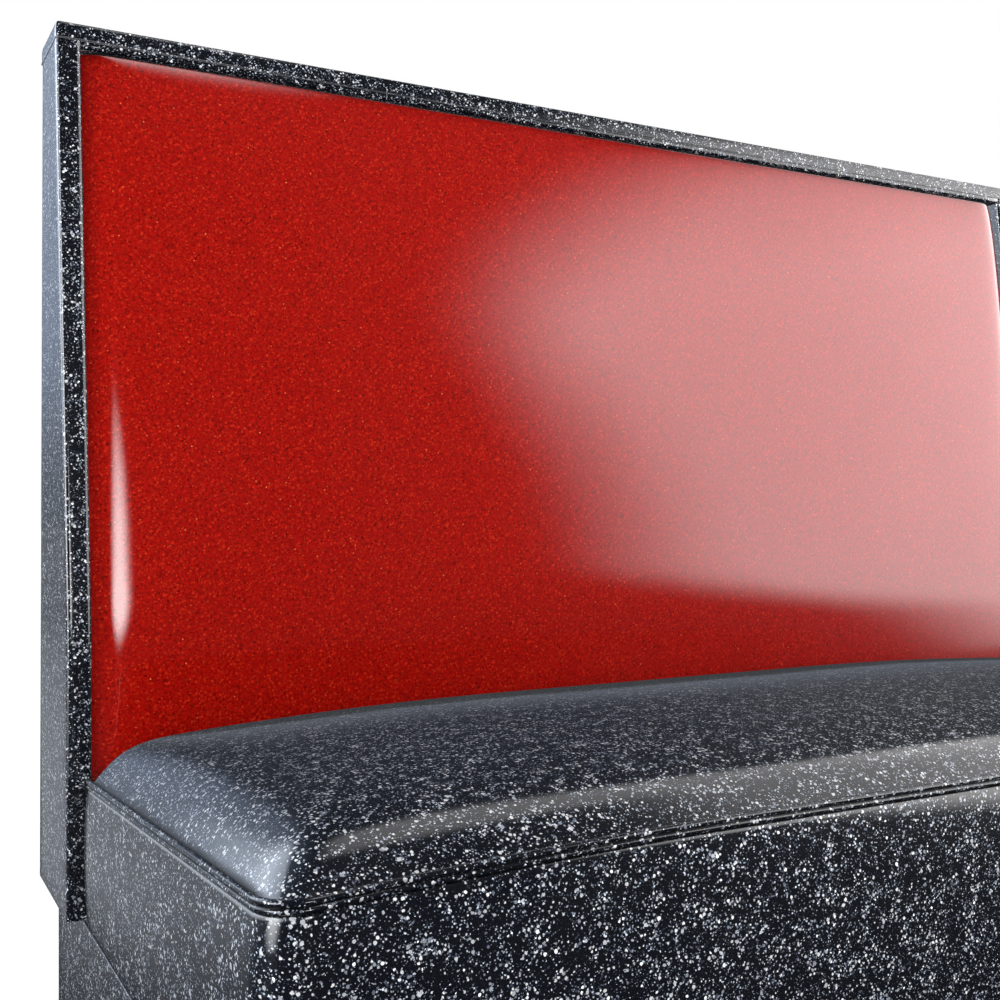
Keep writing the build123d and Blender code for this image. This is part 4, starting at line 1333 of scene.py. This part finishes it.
parts = add(sky, "ShaderNodeSeparateXYZ", {0: direction}).outputs
behind = mapped(sky, parts["Y"], -0.1, 0.6, smooth=True)
to_left = mapped(sky, parts["X"], 0.16, -0.1, smooth=True)
to_right = mapped(sky, parts["X"], 0.5, 0.8, smooth=True)
rising = mapped(sky, parts["Z"], 0.0, 0.14, smooth=True)
beyond = blended(sky, to_left, (0.04, 0.045, 0.06), (0.26, 0.32, 0.44))
beyond = blended(sky, to_right, beyond, (0.09, 0.095, 0.105))
beyond = blended(sky, rising, (0.135, 0.15, 0.18), beyond)
seen = blended(sky, behind, (0.03, 0.032, 0.036), beyond)
dimmer = mapped(sky, parts["Z"], 0.35, 0.7, 4.6, 1.4)
# One bar parts the two windows
bar = (0.7992, 0.2198, -0.5594)
beside_bar = tuple(-c for c in bar)
for light in (
    window(
        dimmer,
        (bar, 0.015, 0.09),
        ((0.701, 0.5608, 0.4406), 0.005, 0.08),
        ((0.3784, 0.3264, 0.8664), 0.0, 0.05),
        ((-0.062, -0.812, 0.5805), 0.02, 0.07),
    ),
    window(
        dimmer,
        ((0.6416, -0.7396, 0.203), 0.0, 0.06),
        ((-0.147, 0.975, -0.1665), 0.0, 0.06),
        ((1.0, 0.0, 0.0), 0.2, 0.08),
        (beside_bar, -0.015, 0.09),
    ),
    panel(-139, 25, 50, 44, 0.24, (0.78, 0.87, 1.0), 3.9, 4.0),
    panel(-6.2, 5.5, 16, 14, 0.5, WHITE, 14.0, 2.0),
    panel(-85, 7, 36, 32, 0.55, (0.93, 0.96, 1.0), 13.0, 2.2),
    panel(21.5, 68, 15, 34, 0.5, WHITE, 3.6, 2.0),
):
    seen = blended(sky, 1.0, seen, light, "ADD")
rays = add(sky, "ShaderNodeLightPath").outputs
fill = blended(sky, mapped(sky, parts["Z"], -0.1, 1.0), (0.26, 0.26, 0.265), (1.26, 1.26, 1.26))
lit = blended(sky, rays["Is Diffuse Ray"], seen, fill)
shown = blended(sky, rays["Is Camera Ray"], lit, WHITE)
background = add(sky, "ShaderNodeBackground", {"Color": shown, "Strength": 1.0})
add(sky, "ShaderNodeOutputWorld", {"Surface": background.outputs[0]})

# Camera, as the photograph's vanishing points give it
camera_data = bpy.data.cameras.new("camera")
camera_data.lens = 44.4
camera_data.sensor_width = 36
camera_data.shift_y = 0.001
camera_data.clip_start = 0.01
camera = bpy.data.objects.new("camera", camera_data)
camera.location = (-0.7862, -0.909, 0.647)
camera.rotation_euler = (math.radians(90), 0, math.radians(-28.69))
bpy.context.scene.collection.objects.link(camera)
bpy.context.scene.camera = camera
bpy.context.scene.view_settings.view_transform = "Standard"
